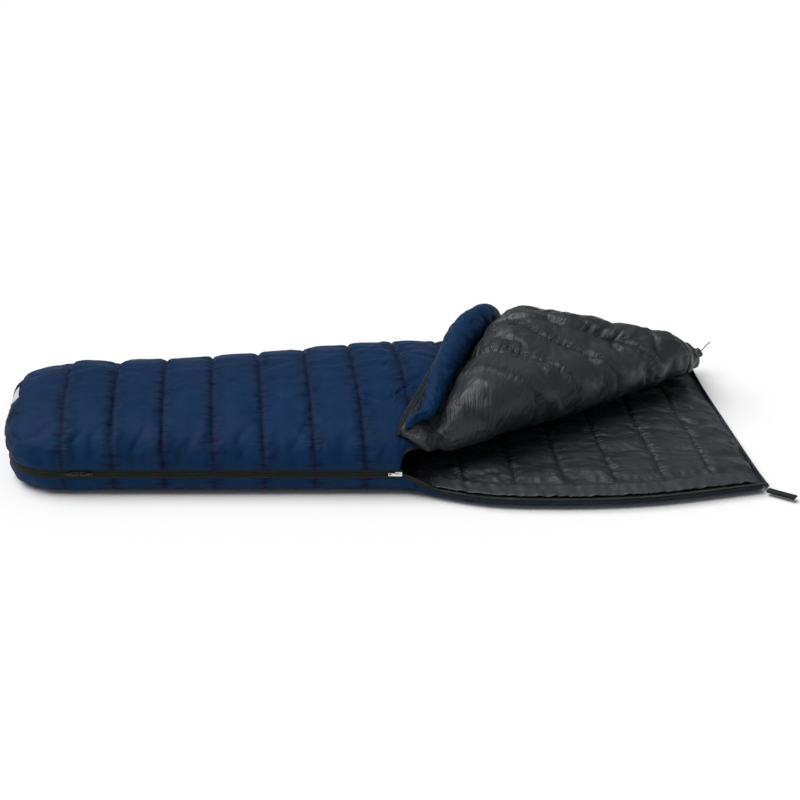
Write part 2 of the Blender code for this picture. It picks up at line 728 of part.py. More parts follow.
def make_zip():
    seam = zip_seam()
    path = offset_path(seam, CHAIN_OUT)
    centre = COIL_RADIUS + COIL_HALF_GAP
    clear = centre + COIL_RADIUS + 0.0004
    tape_strip("zip_tape_upper", path, clear, clear + TAPE_WIDTH)
    lift = Vector((0, 0, centre))
    tube("zip_coil_upper", [p + lift for p in path], COIL_RADIUS, "zip_coil", sides=1)
    for x in [x for x in QUILT_STATIONS if x > SLIDER_X + 0.02]:
        drop = (RIM_Z - ZIP_GROOVE / 2 - OPEN_EDGE_Z) * smooth_step((x - SLIDER_X) / OPEN_RIM_DROP)
        seam.append(Vector((min(x, HEAD_X - 0.006), near_y(min(x, HEAD_X - 0.006)), RIM_Z - drop)))
    lower = offset_path(seam, CHAIN_OUT)
    tape_strip("zip_tape_lower", lower, -clear - TAPE_WIDTH, -clear)
    tube("zip_coil_lower", [p - lift for p in lower], COIL_RADIUS, "zip_coil", sides=1)
    make_flap_zip()


def make_flap_zip():
    """Tape and coil on the flap's own zip edge."""
    out = outward_of_flap_edge()
    edges = [Vector(flap_point(x, 1.0)) + Vector((0, 0, 0.0035)) for x in flap_stations()]
    rows = np.array([[tuple(p + out * 0.001), tuple(p + out * (0.001 + TAPE_WIDTH))] for p in edges])
    skin("zip_tape_flap", rows, "zip_tape", thickness=TAPE, side=0.0)
    shift = out * (TAPE_WIDTH + 0.002 + COIL_RADIUS)
    tube("zip_coil_flap", [p + shift for p in edges], COIL_RADIUS, "zip_coil", sides=1)


def make_slider(name, x, finish, pull_way):
    """Slider body on the closed chain. Its post runs between the two coils."""
    half = SLIDER_LENGTH / 2
    wide = SLIDER_WIDTH / 2
    inner = PLATE_GAP / 2
    body = box(name, (-half, -inner - PLATE, -wide), (half, -inner, wide), finish)
    joined = [("back", (-half, inner, -wide), (half, inner + PLATE, wide))]
    post = POST_THICKNESS / 2
    post_end = half - POST_INSET
    joined.append(("post", (half - POST_LENGTH, -inner - BITE, -post), (post_end, inner + BITE, post)))
    for side in (-1, 1):
        low, high = sorted((side * (wide - FLANGE), side * wide))
        for face in (-1, 1):
            near, far = sorted((face * FLANGE_SLOT / 2, face * (inner + BITE)))
            joined.append((f"flange_{side}_{face}", (-half, near, low), (half - POST_LENGTH, far, high)))
    joined += slider_bridge(-inner - PLATE)
    mount = bpy.data.objects.new(name + "_place", None)
    PARTS.objects.link(mount)
    mount.location = (x, top_near_y(x) - CHAIN_OUT * math.sqrt(1 + ZIP_TAPER**2), RIM_Z)
    mount.rotation_euler.z = math.atan(ZIP_TAPER)
    body.parent = mount
    for label, low, high in joined:
        piece = box(f"{name}_{label}", low, high, finish, HELPERS)
        piece.parent = mount
        boolean(body, piece, "UNION")
    pull = make_pull(name.replace("slider", "pull"), -inner - PLATE - PIN_OUT, finish, pull_way)
    pull.parent = mount


def slider_bridge(plate_y):
    """Low arch on the slider's face that holds the pull: two posts and a bar over them."""
    wide = BRIDGE_WIDTH / 2
    outer_y = plate_y - BRIDGE_RISE
    pieces = []
    for side in (-1, 1):
        low, high = sorted((side * (BRIDGE_REACH - BRIDGE_BAR), side * BRIDGE_REACH))
        pieces.append((f"bridge_{side}", (low, outer_y, -wide), (high, plate_y + BITE, wide)))
    bar_low = (-BRIDGE_REACH + FACE_STEP, outer_y + FACE_STEP, -wide + FACE_STEP)
    bar_high = (BRIDGE_REACH - FACE_STEP, outer_y + BRIDGE_BAR, wide - FACE_STEP)
    return [*pieces, ("bridge_bar", bar_low, bar_high)]


def make_pull(name, axis_y, finish, way):
    """Pull tab: a cross pin inside the bridge, two arms past it, and the tab with its hole."""
    arm = BRIDGE_WIDTH / 2 + PULL_ARM_GAP
    tab = box(name, (PULL_START, -PULL / 2, -PULL_WIDTH / 2), (PULL_LENGTH, PULL / 2, PULL_WIDTH / 2), finish)
    parts = []
    for side in (-1, 1):
        low, high = sorted((side * arm, side * (arm + PULL_ARM)))
        start = (-PULL_PIN, -PULL / 2 + FACE_STEP, low)
        end = (PULL_START + PULL / 2, PULL / 2 - FACE_STEP, high)
        parts.append(box(f"{name}_arm_{side}", start, end, finish, HELPERS))
    reach = arm + PULL_ARM / 2
    parts.append(rod(name + "_pin", (0, 0, -reach), (0, 0, reach), PULL_PIN, finish, 12, HELPERS))
    for part in parts:
        boolean(tab, part, "UNION")
    long, wide = PULL_HOLE
    hole_end = PULL_LENGTH - PULL_HOLE_END
    low, high = (hole_end - long, -PULL, -wide / 2), (hole_end, PULL, wide / 2)
    cut = box(name + "_hole", low, high, finish, HELPERS)
    boolean(tab, cut, "DIFFERENCE")
    for piece in [cut, *parts]:
        piece.parent = tab
    tab.location = (0, axis_y, 0)
    if way < 0:
        tab.rotation_euler.z = math.pi
    return tab


# ---- trims --------------------------------------------------------------------------------------
def make_facing():
    """Flat band sewn inside the bottom quilt's loose zip edge, lying on the lining."""
    stations = [x for x in QUILT_STATIONS if SLIDER_X + 0.06 < x < HEAD_X - 0.01]
    band = surface(bottom_inner, QUILT_STATIONS, BOTTOM_SHARES)
    first = QUILT_STATIONS.index(stations[0])
    lying = shifted(band, CLEAR)[first : first + len(stations), 1:4]
    skin("zip_facing", lying, "lining_fabric", thickness=SKIN, side=1.0)


def hem_pipe(name, path):
    """Drawcord channel: an open ended pipe of fabric."""
    sides = 8
    rings = []
    for i, point in enumerate(path):
        run = (path[min(i + 1, len(path) - 1)] - path[max(i - 1, 0)]).normalized()
        side = run.cross(Vector((0, 0, 1))).normalized()
        up = side.cross(run)
        turns = [2 * math.pi * j / sides for j in range(sides + 1)]
        rings.append([tuple(point + (side * math.cos(t) + up * math.sin(t)) * HEM_RADIUS) for t in turns])
    rows = np.array(rings)
    mesh = bpy.data.meshes.new(name)
    mesh.from_pydata(rows.reshape(-1, 3).tolist(), [], grid_faces(len(rows), sides + 1))
    outward(mesh)
    obj = place(name, mesh, "lining_fabric")
    solid = obj.modifiers.new("wall", "SOLIDIFY")
    solid.thickness = HEM_WALL
    solid.offset = 0.0
    return obj


def neck_path():
    """Centre line of the drawcord channel on the bottom quilt's neck edge."""
    path = []
    for share in (0.06, 0.12, 0.2, 0.3, 0.4, 0.5, 0.6, 0.7, 0.8, 0.88, 0.94):
        low = Vector(bottom_outer(HEAD_X, share))
        high = Vector(bottom_inner(HEAD_X, share))
        z = max((low.z + high.z) / 2, HEM_RADIUS + 2 * HEM_WALL)
        path.append(Vector((HEAD_X + HEM_RADIUS + 2 * HEM_WALL, high.y, z)))
    return path


def make_neck():
    path = neck_path()
    hem_pipe("neck_hem", path)
    through = Vector((math.cos(LOCK_TURN), math.sin(LOCK_TURN), 0)) * math.cos(LOCK_TILT)
    through.z = math.sin(LOCK_TILT)
    cord = [path[0] + (path[1] - path[0]) * 0.3, *path[1:]]
    outside = path[-1] + (path[-1] - path[-2]).normalized() * CORD_EXIT
    cord += [outside, LOCK_PLACE - through * LOCK_APPROACH, LOCK_PLACE + through * TAIL_LENGTH]
    tube("drawcord", cord, CORD_RADIUS, "cord", sides=2)


def make_flap_hem():
    """Drawcord channel on the flap's neck edge, with its own stretch of cord."""
    path = []
    for i in range(9):
        share = 0.06 + 0.88 * i / 8
        low = Vector(flap_point(HEAD_X, share))
        high = Vector(flap_point(HEAD_X, share, upper=True))
        ahead = low - Vector(flap_point(HEAD_X - 0.02, share))
        ahead.z = 0
        path.append((low + high) / 2 + ahead.normalized() * (HEM_RADIUS + 2 * HEM_WALL))
    hem_pipe("flap_hem", path)
    tube("drawcord_flap", path, CORD_RADIUS, "cord", sides=1)


def make_end_tab():
    """Folded webbing loop at the end of the zip, on the neck corner."""
    outer = TAB_GAP + TAB_PLY
    bend_x = TAB_LENGTH - outer
    bends = [math.pi / 2 - math.pi * i / 6 for i in range(7)]
    outside = [(bend_x + outer * math.cos(a), outer * math.sin(a)) for a in bends]
    inside = [(bend_x + TAB_GAP * math.cos(a), TAB_GAP * math.sin(a)) for a in bends[::-1]]
    outline = [(0.0, outer), *outside, (0.0, -outer), (0.0, -TAB_GAP), *inside, (0.0, TAB_GAP)]
    data = bpy.data.curves.new("end_tab", "CURVE")
    data.dimensions = "2D"
    data.fill_mode = "BOTH"
    data.extrude = TAB_WIDTH / 2
    spline = data.splines.new("POLY")
    spline.points.add(len(outline) - 1)
    spline.use_cyclic_u = True
    for i, (x, z) in enumerate(outline):
        spline.points[i].co = (x, z, 0, 1)
    tab = place("end_tab", data, "webbing")
    tab.location = Vector((HEAD_X, near_y(HEAD_X), 0)) + Vector(TAB_PLACE)
    tab.rotation_euler = (math.radians(90), 0, TAB_ANGLE)


def make_foot_label():
    """Small blank woven patch on the upper face of the foot end."""
    rows = surface(top_outer, FOOT_STATIONS[:3], top_shares)
    lifted = shifted(rows, 2 * CLEAR)[1:3]
    crown = len(SHARES) // 2
    start, end, across = LABEL_PART
    patch = []
    for u in (start, end):
        row = lifted[0] + (lifted[1] - lifted[0]) * u
        side = [row[crown] + (row[crown + k] - row[crown]) * across for k in (-1, 1)]
        patch.append([side[0], row[crown], side[1]])
    skin("foot_label", np.array(patch), "label", thickness=SKIN, side=1.0)


def make_cord_lock():
    """Spring cord lock: barrel, plunger and spring, with the drawcord through both."""
    mount = bpy.data.objects.new("cord_lock_place", None)
    PARTS.objects.link(mount)
    mount.location = LOCK_PLACE
    mount.rotation_euler = (0, -LOCK_TILT, LOCK_TURN)
    bottom, top = -LOCK_HEIGHT / 2, LOCK_HEIGHT / 2
    plastic = "black_plastic"
    barrel = rod("cord_lock_barrel", (0, 0, bottom), (0, 0, top), LOCK_RADIUS, plastic)
    well_radius = PLUNGER_RADIUS + PLUNGER_GAP
    past = LOCK_HEIGHT
    well = rod("cord_lock_well", (0, 0, bottom + LOCK_FLOOR), (0, 0, past), well_radius, plastic, 24, HELPERS)
    half = CORD_RADIUS + CORD_SLACK
    sill = -CORD_RADIUS - CORD_SLACK * 0.6
    window = box("cord_lock_window", (-past, -half, sill), (past, half, half), plastic, HELPERS)
    plunger_top = top + PLUNGER_STROKE + CORD_SLACK
    plunger = rod("cord_lock_plunger", (0, 0, PLUNGER_FOOT), (0, 0, plunger_top), PLUNGER_RADIUS, plastic)
    slot_floor = -CORD_RADIUS - CORD_GAP
    slot_top = CORD_RADIUS + CORD_GAP + PLUNGER_STROKE
    slot = box("cord_lock_slot", (-past, -half, slot_floor), (past, half, slot_top), plastic, HELPERS)
    boolean(boolean(barrel, well, "DIFFERENCE"), window, "DIFFERENCE")
    boolean(plunger, slot, "DIFFERENCE")
    low, high = bottom + LOCK_FLOOR + SPRING_GAP, PLUNGER_FOOT - SPRING_GAP
    steps = 8 * SPRING_TURNS
    coil = []
    for i in range(steps + 1):
        angle = 2 * math.pi * SPRING_TURNS * i / steps
        round_x, round_y = SPRING_RADIUS * math.cos(angle), SPRING_RADIUS * math.sin(angle)
        coil.append((round_x, round_y, low + (high - low) * i / steps))
    spring = tube("cord_lock_spring", coil, SPRING_WIRE, "spring_steel", sides=1)
    for piece in (barrel, well, window, plunger, slot, spring):
        piece.parent = mount


def main():
    make_bottom_quilt()
    make_top_quilt()
    make_flap()
    make_fold_roll()
    make_draft_tubes()
    make_zip()
    make_slider("main_slider", SLIDER_X - SLIDER_LENGTH / 2 - 0.001, "silver_metal", -1)
    make_slider("foot_slider", FOOT_SLIDER_X, "black_metal", 1)
    make_slider("toe_slider", TOE_SLIDER_X, "black_metal", -1)
    make_facing()
    make_neck()
    make_flap_hem()
    make_cord_lock()
    make_end_tab()
    make_foot_label()


clear_scene()
PARTS = new_collection("sleeping_bag")
HELPERS = new_collection("cutters_and_joins")
main()
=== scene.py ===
import json
import math

import bmesh
import bpy
import numpy as np
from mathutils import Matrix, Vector, noise


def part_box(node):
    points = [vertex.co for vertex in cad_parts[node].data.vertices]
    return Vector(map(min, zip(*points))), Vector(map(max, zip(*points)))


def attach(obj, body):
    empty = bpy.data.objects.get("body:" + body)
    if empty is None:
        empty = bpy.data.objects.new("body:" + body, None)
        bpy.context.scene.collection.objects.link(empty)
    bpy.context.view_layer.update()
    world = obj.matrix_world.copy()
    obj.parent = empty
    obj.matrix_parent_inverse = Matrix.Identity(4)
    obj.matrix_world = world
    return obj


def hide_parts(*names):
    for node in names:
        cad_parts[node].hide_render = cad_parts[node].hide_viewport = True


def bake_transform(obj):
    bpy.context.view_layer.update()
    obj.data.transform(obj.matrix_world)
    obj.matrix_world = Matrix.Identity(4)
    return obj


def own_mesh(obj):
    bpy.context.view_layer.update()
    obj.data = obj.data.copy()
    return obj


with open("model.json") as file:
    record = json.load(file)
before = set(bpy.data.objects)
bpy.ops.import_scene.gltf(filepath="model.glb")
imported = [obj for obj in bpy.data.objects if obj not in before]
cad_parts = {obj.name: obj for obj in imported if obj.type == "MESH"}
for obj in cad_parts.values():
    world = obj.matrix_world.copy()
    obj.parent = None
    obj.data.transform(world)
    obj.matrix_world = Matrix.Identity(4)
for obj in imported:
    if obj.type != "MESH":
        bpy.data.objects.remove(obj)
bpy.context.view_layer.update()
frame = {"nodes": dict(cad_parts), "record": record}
print("frame loaded:", len(frame["nodes"]), "nodes")

# the bag's form, in metres: foot at -X, zip on the -Y side
bag = {
    "footSeamX": -0.855,
    "footLength": 0.155,
    "footRows": 22,
    "pitch": 0.1285,
    "chambers": 14,
    "sliderX": 0.010,
    "nearAtSlider": -0.352,
    "zipTaper": -0.1025,
    "farHalf": ((-0.86, 0.268), (-0.40, 0.302), (0.0, 0.345), (0.45, 0.372), (0.80, 0.368), (0.95, 0.352)),
    "openNear": (
        (0.010, -0.352), (0.10, -0.392), (0.20, -0.436), (0.38, -0.470), (0.60, -0.480), (0.95, -0.438),
    ),
    "crown": (
        (-0.855, 0.194), (-0.60, 0.182), (-0.30, 0.184), (0.01, 0.190), (0.20, 0.176), (0.50, 0.150),
        (0.95, 0.100),
    ),
    "rimZ": 0.065,
    "groove": 0.016,  # height of the zip's groove between the quilts
    "seamHalfGap": 0.00035,  # where the quilts meet without a zip
    "topLoft": 0.045,
    "bottomLoft": 0.033,
    "openEdgeZ": 0.026,
    "edge": 0.012,
    "rimDrop": 0.10,
    "hollowStart": 0.13,
    "topRoundness": 0.85,
    "bottomRoundness": 0.55,
    "chainOut": 0.0016,
    "tapeWidth": 0.010,
    "coilRadius": 0.0015,
    "coilHalfGap": 0.0004,
}
fold = {
    "start": Vector((0.030, -0.332, 0.135)),  # a point on the fold's axis
    "angle": math.radians(32.3),
    "dip": 0.048,
    "dipReach": 0.13,
    "gap": 0.0045,
    "flapStartX": 0.0325,
    "layGap": 0.006,
    "loft": 0.096,
    "flat": 0.078,
    "rise": 0.090,
    "edgeY": ((0.010, -0.356), (0.30, -0.372), (0.55, -0.392), (0.95, -0.412)),
    "drapeZ": 0.192,
    "drapeFall": 0.72,
    "shortening": 0.0462,
    "neckDraw": 0.030,
}
headX = bag["footSeamX"] + bag["chambers"] * bag["pitch"]
seams = [bag["footSeamX"] + bag["pitch"] * i for i in range(bag["chambers"] + 1)]
along = Vector((math.cos(fold["angle"]), math.sin(fold["angle"]), 0.0))
across = Vector((-along.y, along.x, 0.0))
stepsPerChamber = 16


def curveThrough(points):
    xs, ys = (np.array(column, float) for column in zip(*points))
    slopes = np.gradient(ys, xs)

    def value(x):
        x = min(max(x, xs[0]), xs[-1])
        i = min(int(np.searchsorted(xs, x, side="right")) - 1, len(xs) - 2)
        step = xs[i + 1] - xs[i]
        u = (x - xs[i]) / step
        rising = (1 + 2 * u) * (1 - u) ** 2 * ys[i] + u * (1 - u) ** 2 * step * slopes[i]
        return rising + u * u * (3 - 2 * u) * ys[i + 1] + u * u * (u - 1) * step * slopes[i + 1]

    return value


farHalfWidth = curveThrough(bag["farHalf"])
openNearY = curveThrough(bag["openNear"])
crownZ = curveThrough(bag["crown"])
flapEdgeY = curveThrough(fold["edgeY"])


def smoothStep(x):
    x = min(max(x, 0.0), 1.0)
    return x * x * (3 - 2 * x)


def signedPower(value, power):
    return math.copysign(abs(value) ** power, value)


def closedNearY(x):
    return bag["nearAtSlider"] + bag["zipTaper"] * (x - bag["sliderX"])


def nearY(x):
    return closedNearY(x) if x <= bag["sliderX"] else openNearY(x)


def footScale(x):
    reach = min(max((bag["footSeamX"] - x) / bag["footLength"], 0.0), 1.0)
    return (1 - reach**3) ** (1 / 3)


def foldY(x):
    return fold["start"].y + math.tan(fold["angle"]) * (x - fold["start"].x)


def fromFold(x, y):
    return (Vector((x, y, 0)) - fold["start"]).dot(across)


def rimHalfGap(x, share):
    farOpen = smoothStep((bag["footSeamX"] + 0.10 - x) / 0.10)
    thin = bag["seamHalfGap"]
    return thin + ((1 - share) + share * farOpen) * (bag["groove"] / 2 - thin)


def topSection(x):
    far = farHalfWidth(x)
    return (far + closedNearY(x)) / 2, (far - closedNearY(x)) / 2


def topFirstShare(x):
    if foldY(x) <= closedNearY(x) + fold["gap"]:
        return 0.0
    return topShareAt(x, foldY(x) + fold["gap"])


def topShareAt(x, y):
    middle, half = topSection(x)
    lean = min(max((middle - y) / half, -1.0), 1.0)
    return math.acos(signedPower(lean, 1 / bag["topRoundness"])) / math.pi


def topOuter(x, share):
    angle = math.pi * share
    middle, half = topSection(x)
    scale = footScale(x)
    rim = bag["rimZ"] + rimHalfGap(x, share)
    y = middle - half * scale * signedPower(math.cos(angle), bag["topRoundness"])
    z = rim + (crownZ(x) - rim) * scale * max(math.sin(angle), 0.0) ** 0.75
    opened = smoothStep((x - bag["sliderX"]) / 0.10)
    pressed = fold["dip"] * opened * math.exp(-((fromFold(x, y) / fold["dipReach"]) ** 2)) * math.sin(angle)
    return x, y, z - min(pressed, max(z - rim, 0.0) * 0.6)


def topInner(x, share):
    angle = math.pi * share
    _, yOut, zOut = topOuter(x, share)
    middle, half = topSection(x)
    rim = bag["rimZ"] + rimHalfGap(x, share)
    neck = 1 - 0.70 * smoothStep((x - (headX - 0.10)) / 0.10)
    thin = bag["edge"] * 0.4
    loft = thin + (bag["topLoft"] * neck - thin) * max(math.sin(angle), 0.0) ** 0.6
    sewn = max(smoothStep(fromFold(x, yOut) / 0.04), smoothStep((bag["sliderX"] - x) / 0.05))
    hollow = smoothStep((x - bag["footSeamX"]) / bag["hollowStart"]) ** 0.7
    return x, yOut + (middle - yOut) * sewn * bag["edge"] / half, rim + max(zOut - loft - rim, 0.0) * hollow


def bottomSection(x):
    far = farHalfWidth(x)
    return (far + nearY(x)) / 2, (far - nearY(x)) / 2


def bottomRimZ(x, share):
    opened = smoothStep((x - bag["sliderX"]) / bag["rimDrop"])
    low = bag["rimZ"] - rimHalfGap(x, 0.0)
    near = low + (bag["openEdgeZ"] - low) * opened
    far = bag["rimZ"] - rimHalfGap(x, 1.0) - 0.022 * smoothStep((x - (headX - 0.25)) / 0.25)
    return near + (far - near) * smoothStep(share)


def bottomOuter(x, share):
    angle = math.pi * share
    middle, half = bottomSection(x)
    scale = footScale(x)
    y = middle - half * scale * signedPower(math.cos(angle), bag["bottomRoundness"])
    depth = min(1.06 * max(math.sin(angle), 0.0) ** 0.35, 1.0) * scale**0.4
    return x, y, bottomRimZ(x, share) * (1 - depth)


def bottomInner(x, share):
    angle = math.pi * share
    middle, half = bottomSection(x)
    rim = bottomRimZ(x, share)
    neck = 1 - 0.60 * smoothStep((x - (headX - 0.07)) / 0.07)
    y = middle - (half - bag["edge"]) * signedPower(math.cos(angle), bag["topRoundness"])
    return x, y, rim + (bag["bottomLoft"] * neck - rim) * max(math.sin(angle), 0.0) ** 0.5


def folded(x, y):
    run = Vector((x - fold["start"].x, y - fold["start"].y, 0))
    reach = -run.dot(across)
    reach -= fold["shortening"] * smoothStep((reach - 0.25) / 0.33)
    over = fold["start"] + along * run.dot(along) + across * reach
    return over.x, over.y


def layZ(x, y):
    placeX = min(max(x, bag["sliderX"]), headX)
    under = topOuter(placeX, topShareAt(placeX, y))[2] + 0.010
    fall = max(y - 0.12, 0.0)
    crown = (crownZ(placeX) / crownZ(bag["sliderX"])) ** 0.6
    drape = (fold["drapeZ"] - fold["drapeFall"] * fall * fall) * crown
    return max(under, drape * smoothStep((y - 0.02) / 0.14)) + fold["layGap"]


def flapLength(x):
    return foldY(x) - fold["gap"] - flapEdgeY(x)


def flapPoint(x, share, upper=False):
    fromEdge = flapLength(x) * (1 - share)
    planX, planY = folded(x, flapEdgeY(x) + fromEdge)
    z = layZ(planX, planY)
    drawnBack = fold["neckDraw"] * smoothStep((x - 0.70) / 0.24)
    planX, planY = planX - along.x * drawnBack, planY - along.y * drawnBack
    if upper:
        toZip = smoothStep((fromEdge - fold["flat"]) / fold["rise"]) ** 0.6
        toNeck = smoothStep((headX - x) / 0.30) ** 0.7
        toStart = smoothStep((x - fold["flapStartX"]) / 0.22) ** 0.5
        z += bag["edge"] * 0.8 + fold["loft"] * toZip * toNeck * toStart
    return planX, planY, z


def runs(line):
    # distance along the line at each of its points
    return np.r_[0, np.cumsum(np.linalg.norm(np.diff(line, axis=0), axis=1))]


def atRuns(line, wanted):
    steps = runs(line[:, :3])
    return np.stack([np.interp(wanted, steps, column) for column in line.T], axis=1)


def evenRow(line, count):
    # the same line with its points at even steps
    line = np.array(line, float)
    return atRuns(line, np.linspace(0, runs(line)[-1], count))


def pathLength(path):
    return sum((b - a).length for a, b in zip(path, path[1:]))


def seamDistance(x):
    return min(abs(x - seam) for seam in seams)


def footRows():
    # rows closer together where the foot end turns down
    angles = np.linspace(0.0, math.radians(88), 200)
    length, halfWidth = bag["footLength"], 0.27
    profile = [(length * math.sin(a) ** (2 / 3), halfWidth * math.cos(a) ** (2 / 3), 0) for a in angles]
    return [bag["footSeamX"] - reach for reach in evenRow(profile, bag["footRows"])[:0:-1, 0]]


def quiltRows(first):
    count = int(round((headX - first) / bag["pitch"] * stepsPerChamber))
    return [headX - (headX - first) * (1 - i / count) for i in range(count + 1)]


# mesh helpers
def makeObject(name, mesh):
    piece = bpy.data.objects.new(name, mesh)
    bpy.context.scene.collection.objects.link(piece)
    return piece


def pickOnly(piece):
    bpy.ops.object.select_all(action="DESELECT")
    piece.select_set(True)
    bpy.context.view_layer.objects.active = piece


def applyModifiers(piece):
    pickOnly(piece)
    for modifier in list(piece.modifiers):
        bpy.ops.object.modifier_apply(modifier=modifier.name)


def ringMesh(name, rings, uvs, finishOfColumn):
    # closed skin through rings of points; each corner keeps its cloth coordinates
    rows, columns = rings.shape[:2]
    work = bmesh.new()
    verts = [work.verts.new(point) for point in rings.reshape(-1, 3)]
    layer = work.loops.layers.uv.new("cloth")
    for i in range(rows - 1):
        for j in range(columns):
            k = (j + 1) % columns
            corners = ((i, j, j), (i + 1, j, j), (i + 1, k, j + 1), (i, k, j + 1))
            face = work.faces.new([verts[a * columns + b] for a, b, _ in corners])
            face.material_index = finishOfColumn[j]
            for loop, (a, _, c) in zip(face.loops, corners):
                loop[layer].uv = uvs[a, c]
    for row in (0, rows - 1):
        face = work.faces.new([verts[row * columns + j] for j in range(columns)])
        face.material_index = finishOfColumn[0]
        for loop in face.loops:
            loop[layer].uv = uvs[row, 0]
    bmesh.ops.recalc_face_normals(work, faces=work.faces)
    mesh = bpy.data.meshes.new(name)
    work.to_mesh(mesh)
    work.free()
    return makeObject(name, mesh)


def placesOf(piece):
    found = np.empty(len(piece.data.vertices) * 3)
    piece.data.vertices.foreach_get("co", found)
    return found.reshape(-1, 3)


def setPoints(piece, places):
    piece.data.vertices.foreach_set("co", np.asarray(places, np.float32).ravel())
    piece.data.update()


def normals(piece):
    return np.array([normal.vector[:] for normal in piece.data.vertex_normals])


cloth = {"quality": 4, "mass": 0.12, "stretch": 14, "shear": 5, "bend": 0.02, "damping": 4, "airDamping": 3}


def inflate(piece, held, puff):
    # blows the cloth up between its held seams, and caps how far it may go
    start = placesOf(piece)
    group = piece.vertex_groups.new(name="held")
    group.add([int(i) for i in np.flatnonzero(held)], 1.0, "REPLACE")
    scatter = np.random.RandomState(puff["seed"]).uniform(-1, 1, len(start))
    setPoints(piece, start + normals(piece) * (scatter * (~held) * puff["scatter"])[:, None])
    blowing = piece.modifiers.new("cloth", "CLOTH")
    settings = blowing.settings
    settings.quality = cloth["quality"]
    settings.mass = cloth["mass"]
    settings.tension_stiffness = settings.compression_stiffness = cloth["stretch"]
    settings.shear_stiffness = cloth["shear"]
    settings.bending_stiffness = cloth["bend"]
    settings.tension_damping = settings.compression_damping = cloth["damping"]
    settings.air_damping = cloth["airDamping"]
    settings.shrink_min = -puff["spare"]
    settings.use_pressure = True
    settings.uniform_pressure_force = puff["pressure"]
    settings.vertex_group_mass = "held"
    settings.effector_weights.gravity = 0
    blowing.point_cache.frame_start = 1
    blowing.point_cache.frame_end = puff["frames"]
    for number in range(1, puff["frames"] + 1):
        bpy.context.scene.frame_set(number)
    applyModifiers(piece)
    bpy.context.scene.frame_set(1)
    moved = placesOf(piece) - start
    reach = np.linalg.norm(moved, axis=1, keepdims=True)
    capped = puff["cap"] * np.tanh(reach / puff["cap"])
    setPoints(piece, start + moved * capped / np.maximum(reach, 1e-9))
    piece.vertex_groups.clear()
    mean, most = (round(float(value) * 1000, 1) for value in (reach.mean(), reach.max()))
    print("inflated", piece.name, "mean", mean, "mm, most", most)


def smoothFinish(piece):
    rounder = piece.modifiers.new("rounder", "SUBSURF")
    rounder.levels = rounder.render_levels = 1
    rounder.boundary_smooth = "PRESERVE_CORNERS"
    applyModifiers(piece)
    piece.data.shade_smooth()


def ridged(place):
    return 1 - 2 * abs(noise.noise(place))


def puckers(u, v, side):
    # short gathers that run off a seam on both sides, and long soft dents
    seam = round((u - bag["footSeamX"]) / bag["pitch"])
    away = abs(u - bag["footSeamX"] - seam * bag["pitch"])
    wide = ridged(Vector((u * 16 + seam * 7.3, v * 46 + seam * 3.1, side)))
    narrow = ridged(Vector((u * 24, v * 95, side + 5)))
    return (wide + 0.5 * narrow) * math.exp(-((away / 0.027) ** 2)) * min(away / 0.004 + 0.25, 1.0)


def wrinkle(piece, us, vs, weights, look):
    # moves each point along its normal by the gathers and dents of its place on the cloth
    shift = np.zeros(len(us))
    for i, (u, v, weight) in enumerate(zip(us, vs, weights)):
        if weight > 0:
            dent = noise.noise(Vector((u * look["dentAlong"], v * look["dentAcross"], look["seed"])))
            fine = ridged(Vector((u * 30 + v * 22, v * 60, look["seed"] + 3)))
            gathers = puckers(u, v, look["seed"])
            shift[i] = weight * (look["gather"] * gathers + look["dent"] * dent + look["fine"] * fine)
    setPoints(piece, placesOf(piece) + normals(piece) * shift[:, None])


def clothPlaces(rings, us):
    # u along the bag, v round the ring, with the closing column repeated
    closed = np.concatenate([rings, rings[:, :1]], axis=1)
    steps = np.linalg.norm(np.diff(closed, axis=1), axis=2)
    vs = np.concatenate([np.zeros((len(rings), 1)), np.cumsum(steps, axis=1)], axis=1)
    return np.stack([np.repeat(np.array(us)[:, None], vs.shape[1], axis=1), vs], axis=2)


# materials
class Wire:
    def __init__(self, finish, socket):
        self.finish = finish
        self.socket = socket

    def maths(self, operation, *others):
        values = dict(enumerate((self, *others)))
        return self.finish.add("ShaderNodeMath", {"operation": operation}, values)

    def reflected(self, operation, other):
        return self.finish.add("ShaderNodeMath", {"operation": operation}, {0: other, 1: self})

    def __add__(self, other):
        return self.maths("ADD", other)

    def __radd__(self, other):
        return self.maths("ADD", other)

    def __mul__(self, other):
        return self.maths("MULTIPLY", other)

    def __rmul__(self, other):
        return self.maths("MULTIPLY", other)

    def __sub__(self, other):
        return self.maths("SUBTRACT", other)

    def __rsub__(self, other):
        return self.reflected("SUBTRACT", other)

    def __truediv__(self, other):
        return self.maths("DIVIDE", other)

    def __rtruediv__(self, other):
        return self.reflected("DIVIDE", other)

    def __pow__(self, other):
        return self.maths("POWER", other)

    def __rpow__(self, other):
        return self.reflected("POWER", other)


